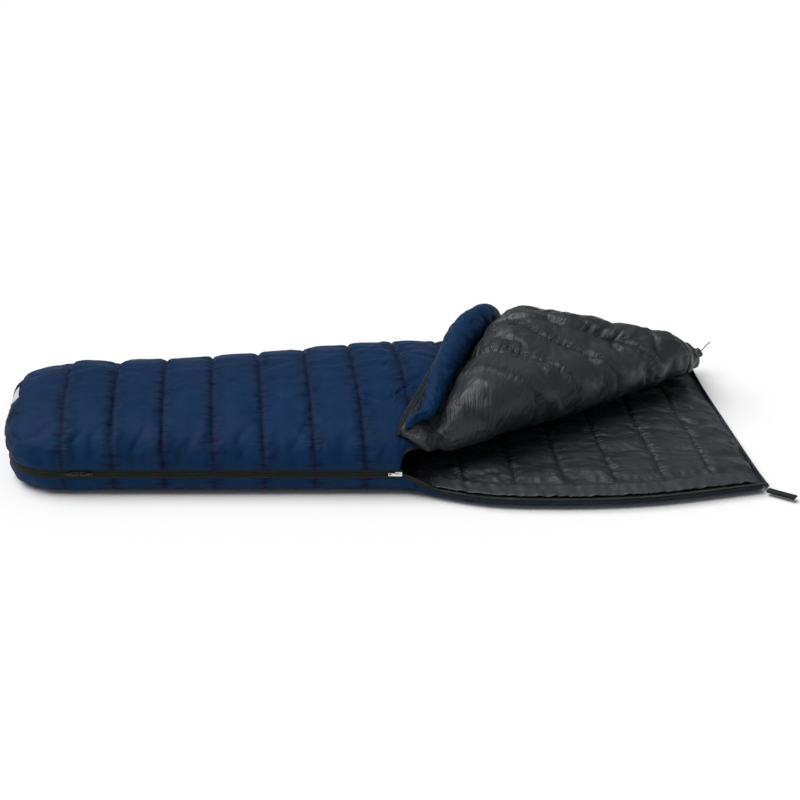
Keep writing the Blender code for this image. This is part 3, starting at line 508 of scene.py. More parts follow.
class Finish:
    def __init__(self, name, constants):
        self.material = bpy.data.materials.new(name)
        self.material.use_nodes = True
        self.tree = self.material.node_tree
        self.shader = self.tree.nodes["Principled BSDF"]
        for socket, value in constants.items():
            self.shader.inputs[socket].default_value = value

    def add(self, kind, settings=None, values=None, output=0):
        node = self.tree.nodes.new(kind)
        for key, setting in (settings or {}).items():
            if key == "stops":
                for stop, (place, colour) in zip(node.color_ramp.elements, setting):
                    stop.position = place
                    stop.color = colour
            else:
                setattr(node, key, setting)
        for socket, value in (values or {}).items():
            if isinstance(value, Wire):
                self.tree.links.new(value.socket, node.inputs[socket])
            else:
                node.inputs[socket].default_value = value
        return Wire(self, node.outputs[output])

    def feed(self, socket, wire):
        self.tree.links.new(wire.socket, self.shader.inputs[socket])

    def between(self, share, low, high):
        # blend of two colours
        return self.add("ShaderNodeMix", {"data_type": "RGBA"}, {0: share, 6: low, 7: high}, 2)

    def grain(self, place, scale, detail=3.0, roughness=0.5):
        values = {"Vector": place, "Scale": scale, "Detail": detail, "Roughness": roughness}
        return self.add("ShaderNodeTexNoise", {}, values)

    def fade(self, value, start, end, high, low=0.0, kind="SMOOTHSTEP"):
        # from high at start to low at end
        values = {0: value, 1: start, 2: end, 3: high, 4: low}
        return self.add("ShaderNodeMapRange", {"interpolation_type": kind}, values)

    def bump(self, height, strength, distance):
        values = {"Strength": strength, "Distance": distance, "Height": height}
        self.feed("Normal", self.add("ShaderNodeBump", {}, values))

    def place(self, x, y, z=0.0):
        return self.add("ShaderNodeCombineXYZ", {}, {0: x, 1: y, 2: z})


def clothAxes(finish):
    uv = finish.add("ShaderNodeUVMap", {"uv_map": "cloth"})
    return (finish.add("ShaderNodeSeparateXYZ", {}, {0: uv}, k) for k in (0, 1))


def ripple(wire, period):
    return (wire * (2 * math.pi / period)).maths("SINE")


def quiltedCloth(name, look, seamPitch=True):
    # thin downproof cloth: ripstop grid, stitched seams, gathers that run off them; painted shade in the seam
    # valleys and along the gathers, and painted light and shade on the creases
    finish = Finish(name, {"Roughness": look["roughness"], "Specular IOR Level": look["specular"]})
    u, v = clothAxes(finish)
    if seamPitch:
        share = ((u - bag["footSeamX"]) / bag["pitch"] + 100.5).maths("FRACT") - 0.5
        away = share.maths("ABSOLUTE") * bag["pitch"]
    else:
        away = 0.05  # no seams run across it
    nearSeam = finish.fade(away, 0.0, look["gatherReach"], 1.0)
    gathers = finish.grain(finish.place(u * 14, v * 85), 1.0, 4.0, 0.6)
    creases = finish.grain(finish.place(u * 26 + v * 12, v * 40 - u * 8), 1.0, 5.0, 0.62)
    patches = finish.grain(finish.place(u * 3, v * 3), 1.0, 2.0)
    grid = ripple(u, look["weave"]).maths("MAXIMUM", ripple(v, look["weave"])) ** 6
    thread = finish.fade(away, 0.0004, 0.0013, 1.0, kind="LINEAR")
    dashes = thread * ripple(v, 0.005).maths("GREATER_THAN", -0.35)
    # random tone patches, plus painted light and shade: the crease and gather noise that raises the bumps
    # also paints the cloth lighter where they rise and darker where they sink
    toneAndPaintedShading = (patches - 0.5) * 0.7 + (creases - 0.5) * 0.6 + nearSeam * (gathers - 0.62) * 1.1 + 0.55
    # painted shade: close to each seam the colour is pulled towards the dark thread colour, standing in for
    # the shadow in the seam's valley, broken up by the gather noise
    seamShade = finish.fade(away, 0.0, look["shadeReach"], look["shade"])
    colour = finish.between(toneAndPaintedShading.maths("MINIMUM", 1.0).maths("MAXIMUM", 0.0), look["dark"], look["light"])
    gatherShade = (seamShade * (gathers * 2.6 - 0.35)).maths("MAXIMUM", 0.0)
    colour = finish.between(gatherShade, colour, look["thread"])
    # painted shade: near the seams, dark streaks of the thread colour along the gathers, standing in for the
    # shadows in the puckers
    paintedPuckerShades = finish.fade(gathers, look["paintedPuckerShadeFrom"], look["paintedPuckerShadeFrom"] + 0.10, 0.0, look["paintedPuckerShade"])
    colour = finish.between(paintedPuckerShades * nearSeam, colour, look["thread"])
    colour = finish.between(dashes * 0.7, colour, look["thread"])
    finish.feed("Base Color", colour)
    finish.feed("Roughness", (creases - 0.5) * look["glossChange"] + look["roughness"])
    height = gathers * nearSeam * look["gatherDepth"] + creases * look["creaseDepth"]
    height = height + grid * look["weaveDepth"] - thread * 0.0006 + dashes * 0.0004
    finish.bump(height, 1.0, 1.0)
    return finish.material


shellLook = {
    # the blend from dark to light carries random tone and also the painted light and shade on creases and
    # gathers; thread is the colour of the stitches and also of the painted shade in the seam valleys and
    # along the gathers
    "dark": (0.0032, 0.014, 0.046, 1),
    "light": (0.0045, 0.031, 0.092, 1),
    "thread": (0.0030, 0.0050, 0.026, 1),
    "roughness": 0.58,
    "glossChange": 0.25,
    "specular": 0.08,
    # painted shade: how dark the painted shadow in the seam valleys is and how far it reaches, and how strong
    # the painted dark streaks along the gathers are
    "shade": 0.62,
    "paintedPuckerShade": 0.85,
    "paintedPuckerShadeFrom": 0.50,
    "shadeReach": 0.012,
    "gatherReach": 0.044,
    "gatherDepth": 0.0056,
    "creaseDepth": 0.0018,
    "weave": 0.004,
    "weaveDepth": 0.00004,
}
liningLook = {
    # the blend from dark to light carries random tone and also the painted light and shade on creases and
    # gathers; thread is the colour of the stitches and also of the painted shade in the seam valleys and
    # along the gathers
    "dark": (0.0080, 0.0112, 0.0145, 1),
    "light": (0.0215, 0.0275, 0.0330, 1),
    "thread": (0.0020, 0.0024, 0.0032, 1),
    "roughness": 0.43,
    "glossChange": 0.40,
    "specular": 0.50,
    # painted shade: how dark the painted shadow in the seam valleys is and how far it reaches, and how strong
    # the painted dark streaks along the gathers are
    "shade": 0.75,
    "paintedPuckerShade": 0.55,
    "paintedPuckerShadeFrom": 0.52,
    "shadeReach": 0.013,
    "gatherReach": 0.056,
    "gatherDepth": 0.0080,
    "creaseDepth": 0.0034,
    "weave": 0.003,
    "weaveDepth": 0.00003,
}


def wovenTape(name, look):
    finish = Finish(name, {"Roughness": 0.85, "Specular IOR Level": 0.25})
    u, v = clothAxes(finish)
    ribs = ripple(u, look["rib"]) * 0.5 + ripple(v + u * 0.5, look["rib"] * 1.4) * 0.5
    fuzz = finish.grain(finish.place(u * 900, v * 900), 1.0, 2.0)
    finish.feed("Base Color", finish.between(fuzz * 0.6 + ribs * 0.2 + 0.1, look["dark"], look["light"]))
    height = ribs * look["depth"] + fuzz * 0.0001
    finish.bump(height, 0.8, 1.0)
    return finish.material


def hardFinish(name, look):
    finish = Finish(name, {"Metallic": look["metal"], "Roughness": look["roughness"]})
    place = finish.add("ShaderNodeTexCoord", {}, {}, 3)
    scratches = finish.grain(place, look["scale"], 4.0, 0.6)
    wear = finish.grain(place, look["scale"] * 0.22, 2.0)
    finish.feed("Base Color", finish.between(wear, look["dark"], look["light"]))
    finish.feed("Roughness", scratches * 0.25 + (look["roughness"] - 0.12))
    finish.bump(scratches, 0.4, look["depth"])
    return finish.material


shellCloth = quiltedCloth("navyRipstop", shellLook)
liningCloth = quiltedCloth("blackTaffeta", liningLook)
tubeCloth = quiltedCloth("navyTube", shellLook, seamPitch=False)
weaves = {
    "zipTapeWeave": {
        "rib": 0.0012, "depth": 0.0002, "dark": (0.006, 0.008, 0.009, 1), "light": (0.018, 0.024, 0.024, 1),
    },
    "webbingWeave": {
        "rib": 0.0018, "depth": 0.0005, "dark": (0.008, 0.011, 0.012, 1), "light": (0.034, 0.042, 0.042, 1),
    },
    "cordBraid": {
        "rib": 0.0012, "depth": 0.0003, "dark": (0.008, 0.008, 0.010, 1), "light": (0.03, 0.03, 0.034, 1),
    },
    "labelWeave": {
        "rib": 0.0010, "depth": 0.0002, "dark": (0.42, 0.44, 0.45, 1), "light": (0.74, 0.76, 0.77, 1),
    },
}
hardLooks = {
    "coilPlastic": {
        "metal": 0.0, "roughness": 0.42, "scale": 900, "depth": 0.0002,
        "dark": (0.010, 0.014, 0.011, 1), "light": (0.030, 0.036, 0.030, 1),
    },
    "silverMetal": {
        "metal": 1.0, "roughness": 0.30, "scale": 700, "depth": 0.0002,
        "dark": (0.62, 0.62, 0.63, 1), "light": (0.84, 0.84, 0.85, 1),
    },
    "blackMetal": {
        "metal": 0.6, "roughness": 0.38, "scale": 700, "depth": 0.0002,
        "dark": (0.010, 0.010, 0.011, 1), "light": (0.034, 0.034, 0.036, 1),
    },
    "blackPlastic": {
        "metal": 0.0, "roughness": 0.45, "scale": 800, "depth": 0.0003,
        "dark": (0.012, 0.012, 0.014, 1), "light": (0.032, 0.032, 0.035, 1),
    },
    "springSteel": {
        "metal": 1.0, "roughness": 0.28, "scale": 900, "depth": 0.0001,
        "dark": (0.42, 0.42, 0.43, 1), "light": (0.64, 0.64, 0.65, 1),
    },
}
zipTapeCloth, webbingCloth, cordBraid, labelWeave = (wovenTape(name, look) for name, look in weaves.items())
coilPlastic, silverMetal, blackMetal, blackPlastic, springSteel = (
    hardFinish(name, look) for name, look in hardLooks.items()
)
print("materials made")


# quilts
topQuilt = {
    "outerColumns": 84,
    "innerColumns": 14,
    "overhang": 0.0045,
    "puff": {"seed": 3, "scatter": 0.0008, "spare": 0.055, "pressure": 3.0, "frames": 20, "cap": 0.017},
    "look": {
        "seed": 1.0, "gather": 0.0050, "dent": 0.0034, "fine": 0.0005, "dentAlong": 14, "dentAcross": 11,
    },
}
bottomQuilt = {
    "outerColumns": 44,
    "innerColumns": 76,
    "overhang": 0.0035,
    "puff": {"seed": 5, "scatter": 0.0008, "spare": 0.060, "pressure": 2.4, "frames": 20, "cap": 0.015},
    "look": {
        "seed": 11.0, "gather": 0.0042, "dent": 0.0035, "fine": 0.0012, "dentAlong": 13, "dentAcross": 10,
    },
}
flapQuilt = {
    "upperColumns": 84,
    "rollColumns": 24,
    "underColumns": 20,
    "rollReach": 0.060,
    "puff": {"seed": 8, "scatter": 0.0010, "spare": 0.075, "pressure": 3.4, "frames": 20, "cap": 0.024},
    "look": {
        "seed": 21.0, "gather": 0.0052, "dent": 0.0028, "fine": 0.0010, "dentAlong": 11, "dentAcross": 9,
    },
}


def overhang(rings, columns, above, reach):
    # the cloth laps over the sewn edge of the zip tape
    outer = rings[:, :columns]
    runU, runV = np.gradient(outer, axis=0), np.gradient(outer, axis=1)
    out = np.cross(runU, runV)
    out /= np.maximum(np.linalg.norm(out, axis=2, keepdims=True), 1e-12)
    centre = outer.mean(axis=1, keepdims=True)
    out *= np.sign(((outer - centre) * out).sum(axis=2, keepdims=True))
    fromRim = (outer[..., 2] - bag["rimZ"]) * (1 if above else -1) - bag["groove"] / 2
    rise = np.clip((fromRim + 0.0020) / 0.004, 0, 1)
    fade = np.clip((fromRim - 0.012) / 0.03, 0, 1)
    amount = reach * rise**2 * (3 - 2 * rise) * (1 - fade**2 * (3 - 2 * fade))
    rings[:, :columns] += out * amount[..., None]
    wave = np.array([noise.noise(Vector((row[0, 0] * 38, 5 if above else 8, 0))) for row in outer])
    lap = np.clip(1 - np.abs(fromRim) / 0.010, 0, 1) * (0.0012 + 0.0004 * wave[:, None])
    rings[:, :columns, 2] -= lap * (1 if above else -1)


def seamRow(x):
    return seamDistance(x) < bag["pitch"] / stepsPerChamber * 0.3


def quiltRings(xs, outerCount, innerCount, outerAt, innerAt, firstShare):
    # each ring runs over the shell and back along the lining, or straight back in the foot end
    shares = np.linspace(0, 1, 160)
    rings = []
    for x in xs:
        first = firstShare(x)
        outer = evenRow([outerAt(x, first + (1 - first) * s) for s in shares], outerCount)
        if x < bag["footSeamX"] - 1e-6:
            inner = evenRow([outer[-1], outer[0]], innerCount + 2)[1:-1]
        else:
            inner = evenRow([innerAt(x, first + (1 - first) * s) for s in shares[::-1]], innerCount)
        rings.append(np.concatenate([outer, inner]))
    return np.array(rings)


def gridPlaces(xs, columns):
    # row and column of each point
    return np.repeat(np.arange(len(xs)), columns), np.tile(np.arange(columns), len(xs))


def atSeams(xs, row, start, end):
    # rows sewn through, and those at the two ends
    return np.array([seamRow(x) for x in xs])[row] | (row < start) | (row > len(xs) - end)


def makeTopQuilt():
    outerCount, innerCount = topQuilt["outerColumns"], topQuilt["innerColumns"]
    xs = footRows() + quiltRows(bag["footSeamX"])
    rings = quiltRings(xs, outerCount, innerCount, topOuter, topInner, topFirstShare)
    overhang(rings, outerCount, True, topQuilt["overhang"])
    uvs = clothPlaces(rings, xs)
    finishes = [0] * (outerCount - 1) + [1] * (innerCount + 1)
    piece = ringMesh("top_quilt", rings, uvs, finishes)
    piece.data.materials.append(shellCloth)
    piece.data.materials.append(liningCloth)
    row, column = gridPlaces(xs, outerCount + innerCount)
    outerFree = (column > 1) & (column < outerCount - 2)
    held = ~outerFree | atSeams(xs, row, 4, 3)
    inflate(piece, held, topQuilt["puff"])
    us, vs = uvs[:, :-1, 0].ravel(), uvs[:, :-1, 1].ravel()
    edgeFade = np.minimum(np.minimum(column, outerCount - 1 - column) / 6, 1) * (column < outerCount)
    wrinkle(piece, us, vs, edgeFade * np.clip(row / 14, 0, 1), topQuilt["look"])
    smoothFinish(piece)
    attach(piece, "bag")
    fills = [f"top_fill_{i:02d}" for i in range(8)]
    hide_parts("top_shell", "top_lining", "top_fill_under_flap", *fills)
    print("top quilt made:", len(piece.data.polygons), "faces")
    return piece


def makeBottomQuilt():
    outerCount, innerCount = bottomQuilt["outerColumns"], bottomQuilt["innerColumns"]
    xs = footRows() + quiltRows(bag["footSeamX"])
    rings = quiltRings(xs, outerCount, innerCount, bottomOuter, bottomInner, lambda x: 0.0)
    overhang(rings, outerCount, False, bottomQuilt["overhang"])
    rings[..., 2] = np.maximum(rings[..., 2], 0.0)
    uvs = clothPlaces(rings, xs)
    finishes = [0] * (outerCount - 1) + [1] * (innerCount + 1)
    piece = ringMesh("bottom_quilt", rings, uvs, finishes)
    piece.data.materials.append(shellCloth)
    piece.data.materials.append(liningCloth)
    columns = outerCount + innerCount
    row, column = gridPlaces(xs, columns)
    x = np.array(xs)[row]
    openInner = (column > outerCount + 7) & (column < columns - 8) & (x > bag["sliderX"] + 0.03)
    height = rings.reshape(-1, 3)[:, 2]
    side = (column > 1) & (column < outerCount - 2) & (height > 0.016)
    held = ~(openInner | side) | atSeams(xs, row, 4, 3)
    inflate(piece, held, bottomQuilt["puff"])
    us, vs = uvs[:, :-1, 0].ravel(), uvs[:, :-1, 1].ravel()
    openFade = np.clip((x - bag["sliderX"]) / 0.08, 0, 1) * np.clip((columns - column - 6) / 6, 0, 1)
    weight = np.where(openInner, openFade, side * 0.5)
    wrinkle(piece, us, vs, weight * np.clip(row / 14, 0, 1), bottomQuilt["look"])
    places = placesOf(piece)
    places[:, 2] = np.maximum(places[:, 2], 0.0)
    setPoints(piece, places)
    smoothFinish(piece)
    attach(piece, "bag")
    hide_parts("bottom_shell", "bottom_lining", *[f"bottom_fill_{i:02d}" for i in range(15)])
    print("bottom quilt made:", len(piece.data.polygons), "faces")


def rollRing(x):
    # half a turn from the flap's top, round the fold's outside, down to the lining under it
    bottom = topInner(x, topFirstShare(x))[2] + 0.0007
    start = Vector(flapPoint(x, 0.0, True))
    middle, half = (start.z + bottom) / 2, (start.z - bottom) / 2
    reach = min(flapQuilt["rollReach"], half)
    line = []
    for i in range(33):
        turn = math.pi * i / 32
        nose = start - across * (reach * math.sin(turn) * (1 + 0.25 * math.sin(turn)))
        slip = reach * turn / math.tan(math.pi / 2 - fold["angle"])
        place = nose + along * min(slip, 0.05) * smoothStep((headX - x) / 0.15)
        line.append((place.x, place.y, middle + half * signedPower(math.cos(turn), 0.8)))
    return line


def flapRing(x):
    upper = [flapPoint(x, 1 - s, True) for s in np.linspace(0, 1, 120)]
    top = evenRow(upper, flapQuilt["upperColumns"])
    roll = evenRow(rollRing(x), flapQuilt["rollColumns"] + 1)[1:]
    under = evenRow([flapPoint(x, s, False) for s in np.linspace(0, 1, 60)], flapQuilt["underColumns"])
    return np.concatenate([top, roll, under])


def makeFlapQuilt():
    xs = quiltRows(fold["flapStartX"])
    rings = np.array([flapRing(x) for x in xs])
    upperCount, rollCount = flapQuilt["upperColumns"], flapQuilt["rollColumns"]
    uvs = clothPlaces(rings, xs)
    columns = rings.shape[1]
    finishes = [1] * (upperCount + rollCount) + [0] * (columns - upperCount - rollCount)
    piece = ringMesh("flap_quilt", rings, uvs, finishes)
    piece.data.materials.append(shellCloth)
    piece.data.materials.append(liningCloth)
    row, column = gridPlaces(xs, columns)
    free = (column > 6) & (column < upperCount + rollCount - 3)
    held = ~free | atSeams(xs, row, 2, 3)
    inflate(piece, held, flapQuilt["puff"])
    us, vs = uvs[:, :-1, 0].ravel(), uvs[:, :-1, 1].ravel()
    weight = free * np.clip(np.minimum(column, upperCount + rollCount - column) / 8, 0, 1)
    wrinkle(piece, us, vs, weight, flapQuilt["look"])
    smoothFinish(piece)
    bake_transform(piece)
    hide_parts("flap_shell", "flap_lining", "flap_fill", "fold_roll")
    print("flap quilt made:", len(piece.data.polygons), "faces")


# draft tubes
draftTube = {
    "inset": 0.043,
    "radii": (
        (0.0, 0.009), (0.12, 0.020), (0.25, 0.029), (0.45, 0.037), (0.65, 0.040), (0.85, 0.037), (1.0, 0.022),
    ),
    "seat": 0.0061,
    "columns": 36,
    "step": 0.0075,
    "puff": {"seed": 4, "scatter": 0.0010, "spare": 0.06, "pressure": 2.0, "frames": 16, "cap": 0.010},
    "look": {
        "seed": 31.0, "gather": 0.0, "dent": 0.0040, "fine": 0.0008, "dentAlong": 16, "dentAcross": 16,
    },
}


def tubeRings(path, radii, columns):
    rings = []
    for i, (point, radius) in enumerate(zip(path, radii)):
        run = Vector(path[min(i + 1, len(path) - 1)] - path[max(i - 1, 0)]).normalized()
        side = run.cross(Vector((0, 0, 1))).normalized()
        up = side.cross(run)
        turns = [2 * math.pi * j / columns for j in range(columns)]
        rings.append([tuple(Vector(point) + (side * math.cos(t) + up * math.sin(t)) * radius) for t in turns])
    return np.array(rings)


def makeDraftTube():
    xs = [x for x in quiltRows(fold["flapStartX"]) if x < headX - 0.04]
    radiusAt = curveThrough(draftTube["radii"])
    path, radii = [], []
    for x in xs:
        radius = radiusAt((x - xs[0]) / (xs[-1] - xs[0]))
        fromEdge = min(draftTube["inset"], flapLength(x) * 0.5)
        seat = Vector(flapPoint(x, 1 - fromEdge / flapLength(x), True))
        path.append(seat + Vector((0, 0, radius + draftTube["seat"])))
        radii.append(radius)
    path[0] += (path[1] - path[0]) * 0.25
    line = np.array([[*p, r] for p, r in zip(path, radii)])
    length = runs(line[:, :3])[-1]
    step = draftTube["step"] * 1
    wanted = np.linspace(0, length, int(length / step))
    even = atRuns(line, wanted)
    ends = np.minimum(wanted, wanted[-1] - wanted)
    radius = even[:, 3] * np.sqrt(np.clip(1 - (1 - np.clip(ends / 0.03, 0, 1)) ** 2, 0.02, 1))
    rings = tubeRings(even[:, :3], radius, draftTube["columns"])
    uvs = clothPlaces(rings, wanted)
    piece = ringMesh("draft_tube_cover", rings, uvs, [0] * draftTube["columns"])
    piece.data.materials.append(tubeCloth)
    row, column = gridPlaces(rings, draftTube["columns"])
    turn = column / draftTube["columns"]
    held = (abs(turn - 0.75) < 0.09) | (row < 3) | (row > len(rings) - 4)
    inflate(piece, held, draftTube["puff"])
    us, vs = uvs[:, :-1, 0].ravel(), uvs[:, :-1, 1].ravel()
    wrinkle(piece, us, vs, np.where(held, 0.0, 1.0), draftTube["look"])
    smoothFinish(piece)
    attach(piece, "flap")
    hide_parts("draft_tube")
    print("draft tube made")


def makeClosedDraftTube():
    low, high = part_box("draft_tube_closed")
    radius = (high.z - low.z) / 2
    start = Vector((low.x, high.y - radius, low.z + radius))
    end = Vector((high.x, low.y + radius, low.z + radius))
    count = 120
    path = [start + (end - start) * (i / count) for i in range(count + 1)]
    radii = [radius * (0.93 + 0.06 * noise.noise(Vector((i * 0.4, 0, 2)))) for i in range(count + 1)]
    rings = tubeRings(path, radii, 16)
    piece = ringMesh("closed_draft_tube_cover", rings, clothPlaces(rings, [p.x for p in path]), [0] * 16)
    piece.data.materials.append(tubeCloth)
    piece.data.shade_smooth()
    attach(piece, "bag")
    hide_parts("draft_tube_closed")


# zip
zipper = {"toothPitch": 0.0013, "valley": 0.62, "sides": 7, "tapeStep": 0.006, "tapeHalfThickness": 0.00035}


def zipSeam():
    xs = [bag["footSeamX"], *footRows()[::-1]]
    far = [Vector((x, topOuter(x, 1.0)[1], bag["rimZ"])) for x in xs]
    near = [Vector((x, topOuter(x, 0.0)[1], bag["rimZ"])) for x in xs]
    return [*far, *near[::-1], Vector((bag["sliderX"], bag["nearAtSlider"], bag["rimZ"]))]


def openSeam():
    # the lower chain goes on beyond the slider, down to the loose edge
    seam = zipSeam()
    fullDrop = bag["rimZ"] - bag["groove"] / 2 - bag["openEdgeZ"]
    for x in np.arange(bag["sliderX"] + 0.02, headX - 0.006, 0.02):
        drop = fullDrop * smoothStep((x - bag["sliderX"]) / bag["rimDrop"])
        seam.append(Vector((x, nearY(x), bag["rimZ"] - drop)))
    return seam


def sideways(path, distance):
    moved = []
    for i, point in enumerate(path):
        run = (path[min(i + 1, len(path) - 1)] - path[max(i - 1, 0)]).normalized()
        moved.append(point + Vector((run.y, -run.x, 0)).normalized() * distance)
    return moved


def lift(path, height):
    return [point + Vector((0, 0, height)) for point in path]


def makeTape(name, node, low, high, body):
    # woven strip between two edge lines, with its cloth coordinates in metres
    count = int(pathLength(low) / zipper["tapeStep"])
    rows = np.stack([evenRow([tuple(p) for p in edge], count) for edge in (low, high)], axis=1)
    middle = rows.mean(axis=1, keepdims=True)
    rows = np.concatenate([rows[:, :1], middle, rows[:, 1:]], axis=1)
    side = np.cross(np.gradient(rows[:, 1], axis=0), rows[:, 2] - rows[:, 0])
    side /= np.linalg.norm(side, axis=1, keepdims=True)
    thick = side[:, None] * zipper["tapeHalfThickness"]
    rings = np.concatenate([rows + thick, (rows - thick)[:, ::-1]], axis=1)
    piece = ringMesh(name, rings, clothPlaces(rings, runs(rows[:, 1])), [0] * rings.shape[1])
    piece.data.materials.append(zipTapeCloth)
    piece.data.shade_smooth()
    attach(piece, body)
    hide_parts(node)


def makeCoil(name, node, path, body):
    # ribbed run of coil teeth: each tooth is a fat ring between two thin ones
    length = pathLength(path)
    count = int(length / zipper["toothPitch"]) * 2
    places = evenRow([tuple(p) for p in path], count)
    radii = [bag["coilRadius"] * (1.0 if i % 2 else zipper["valley"]) for i in range(count)]
    rings = tubeRings([Vector(p) for p in places], radii, zipper["sides"])
    piece = ringMesh(name, rings, clothPlaces(rings, np.linspace(0, length, count)), [0] * zipper["sides"])
    piece.data.materials.append(coilPlastic)
    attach(piece, body)
    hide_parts(node)


def makeZip():
    centre = bag["coilRadius"] + bag["coilHalfGap"]
    clear = centre + bag["coilRadius"] + 0.0004
    upper = sideways(zipSeam(), bag["chainOut"])
    lower = sideways(openSeam(), bag["chainOut"])
    width = bag["tapeWidth"]
    makeTape("upper_zip_tape", "zip_tape_upper", lift(upper, clear), lift(upper, clear + width), "bag")
    makeTape("lower_zip_tape", "zip_tape_lower", lift(lower, -clear - width), lift(lower, -clear), "bag")
    makeCoil("upper_zip_coil", "zip_coil_upper", lift(upper, centre), "bag")
    makeCoil("lower_zip_coil", "zip_coil_lower", lift(lower, -centre), "bag")
    out = -(along * along.y - across * across.y)
    edges = [Vector(flapPoint(x, 1.0)) + Vector((0, 0, 0.0035)) for x in quiltRows(fold["flapStartX"])]
    tapeEdges = [[p + out * reach for p in edges] for reach in (0.001, 0.001 + width)]
    makeTape("flap_zip_tape", "zip_tape_flap", *tapeEdges, "flap")
    coilLine = [p + out * (width + 0.002 + bag["coilRadius"]) for p in edges]
    makeCoil("flap_zip_coil", "zip_coil_flap", coilLine, "flap")
    print("zip made")


# hard pieces: rounded copies of the frame's own solids
rounding = {"slider": 0.00025, "pull": 0.00020, "lock": 0.0004}


def mergedCopy(node, name):
    # the solid's loose triangles joined, and left open in edit mode
    mesh = frame["nodes"][node].data.copy()
    mesh.materials.clear()
    piece = makeObject(name, mesh)
    pickOnly(piece)
    bpy.ops.object.mode_set(mode="EDIT")
    bpy.ops.mesh.select_all(action="SELECT")
    bpy.ops.mesh.remove_doubles(threshold=0.00001)
    bpy.ops.mesh.normals_make_consistent(inside=False)
    return piece


def roundedCopy(node, name, body, finish, slot, edge):
    piece = mergedCopy(node, name)
    bpy.ops.mesh.dissolve_limited(angle_limit=math.radians(2))
    bpy.ops.object.mode_set(mode="OBJECT")
    if edge:
        bevel = piece.modifiers.new("rounded", "BEVEL")
        bevel.width = edge
        bevel.segments = 2
        bevel.limit_method = "ANGLE"
        bevel.angle_limit = math.radians(35)
        applyModifiers(piece)
    bpy.ops.object.shade_smooth_by_angle(angle=math.radians(40))
    piece.data.materials.append(finish)
    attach(piece, body)
    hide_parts(node)
    return piece


def makeHardware():
    black = (blackMetal, "black_metal")
    for which, metal in (("main", (silverMetal, "silver_metal")), ("foot", black), ("toe", black)):
        slider, pull = f"{which}_slider", f"{which}_pull"
        roundedCopy(slider, f"{slider}_body", slider, *metal, rounding["slider"])
        roundedCopy(pull, f"{pull}_tab", pull, *metal, rounding["pull"])
    plastic = (blackPlastic, "black_plastic", rounding["lock"])
    barrel = roundedCopy("cord_lock_barrel", "toggle_barrel", "cord_lock", *plastic)
    button = roundedCopy("cord_lock_plunger", "toggle_button", "cord_lock_button", *plastic)
    spring = roundedCopy("cord_lock_spring", "toggle_spring", "cord_lock", springSteel, "spring_steel", 0)
    press = next(j for j in frame["record"]["behaviour"]["joints"] if j["name"] == "cord_lock_press")
    way = Vector(press["axis"])
    alongPress = [way.dot(v.co) for v in spring.data.vertices]
    length = max(alongPress) - min(alongPress)
    shortened = (length - press["range_m"][1]) / length
    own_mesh(spring)
    print("spring", round(length * 1000, 2), "mm, keeps", round(shortened, 2))
    print("sliders and cord lock made")
    return barrel, button, spring


# hems, facing, cord, tab and label
trims = {
    "hemRadius": 0.0055,
    "hemSeat": 0.0071,  # its centre beyond the quilt's end, and above the floor
    "hemStep": 0.002,
    "hemSides": 14,
    "hemPitch": 0.006,
    "facingStart": 0.004,
    "facingWidth": 0.058,
    "facingColumns": 13,
    "ruffle": 0.0030,
    "rufflePitch": 0.021,
    "cordRadius": 0.0014,
}


def gatheredHem(name, node, path, body):
    length = pathLength(path)
    count, sides = int(length / trims["hemStep"]), trims["hemSides"]
    places = evenRow([tuple(p) for p in path], count)
    rings = tubeRings([Vector(p) for p in places], [trims["hemRadius"]] * count, sides)
    for i in range(count):
        for j in range(sides):
            ruck = ridged(Vector((i * trims["hemStep"] / trims["hemPitch"] * 1.7, j * 0.45, 6)))
            rings[i, j] = places[i] + (rings[i, j] - places[i]) * (1 + 0.16 * ruck)
    piece = ringMesh(name, rings, clothPlaces(rings, np.linspace(0, length, count)), [0] * sides)
    piece.data.materials.append(liningCloth)
    piece.data.shade_smooth()
    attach(piece, body)
    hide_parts(node)


def neckPath():
    path = []
    for share in (0.06, 0.12, 0.2, 0.3, 0.4, 0.5, 0.6, 0.7, 0.8, 0.88, 0.94):
        low, high = Vector(bottomOuter(headX, share)), Vector(bottomInner(headX, share))
        z = max((low.z + high.z) / 2, trims["hemSeat"])
        path.append(Vector((headX + trims["hemSeat"], high.y, z)))
    return path


def makeHems():
    gatheredHem("neck_hem_cover", "neck_hem", neckPath(), "bag")
    path = []
    for i in range(9):
        share = 0.06 + 0.88 * i / 8
        low, high = Vector(flapPoint(headX, share)), Vector(flapPoint(headX, share, True))
        ahead = low - Vector(flapPoint(headX - 0.02, share))
        ahead.z = 0
        path.append((low + high) / 2 + ahead.normalized() * trims["hemSeat"])
    gatheredHem("flap_hem_cover", "flap_hem", path, "flap")
    inside = [path[0] + (path[1] - path[0]) * 0.3, *path[1:-1], path[-1] + (path[-2] - path[-1]) * 0.3]
    count = 90
    places = [Vector(p) for p in evenRow([tuple(p) for p in inside], count)]
    rings = tubeRings(places, [trims["cordRadius"]] * count, 10)
    cord = ringMesh("flap_drawcord", rings, clothPlaces(rings, np.linspace(0, 0.6, count)), [0] * 10)
    cord.data.materials.append(cordBraid)
    cord.data.shade_smooth()
    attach(cord, "flap")
    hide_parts("drawcord_flap")
    print("hems made")


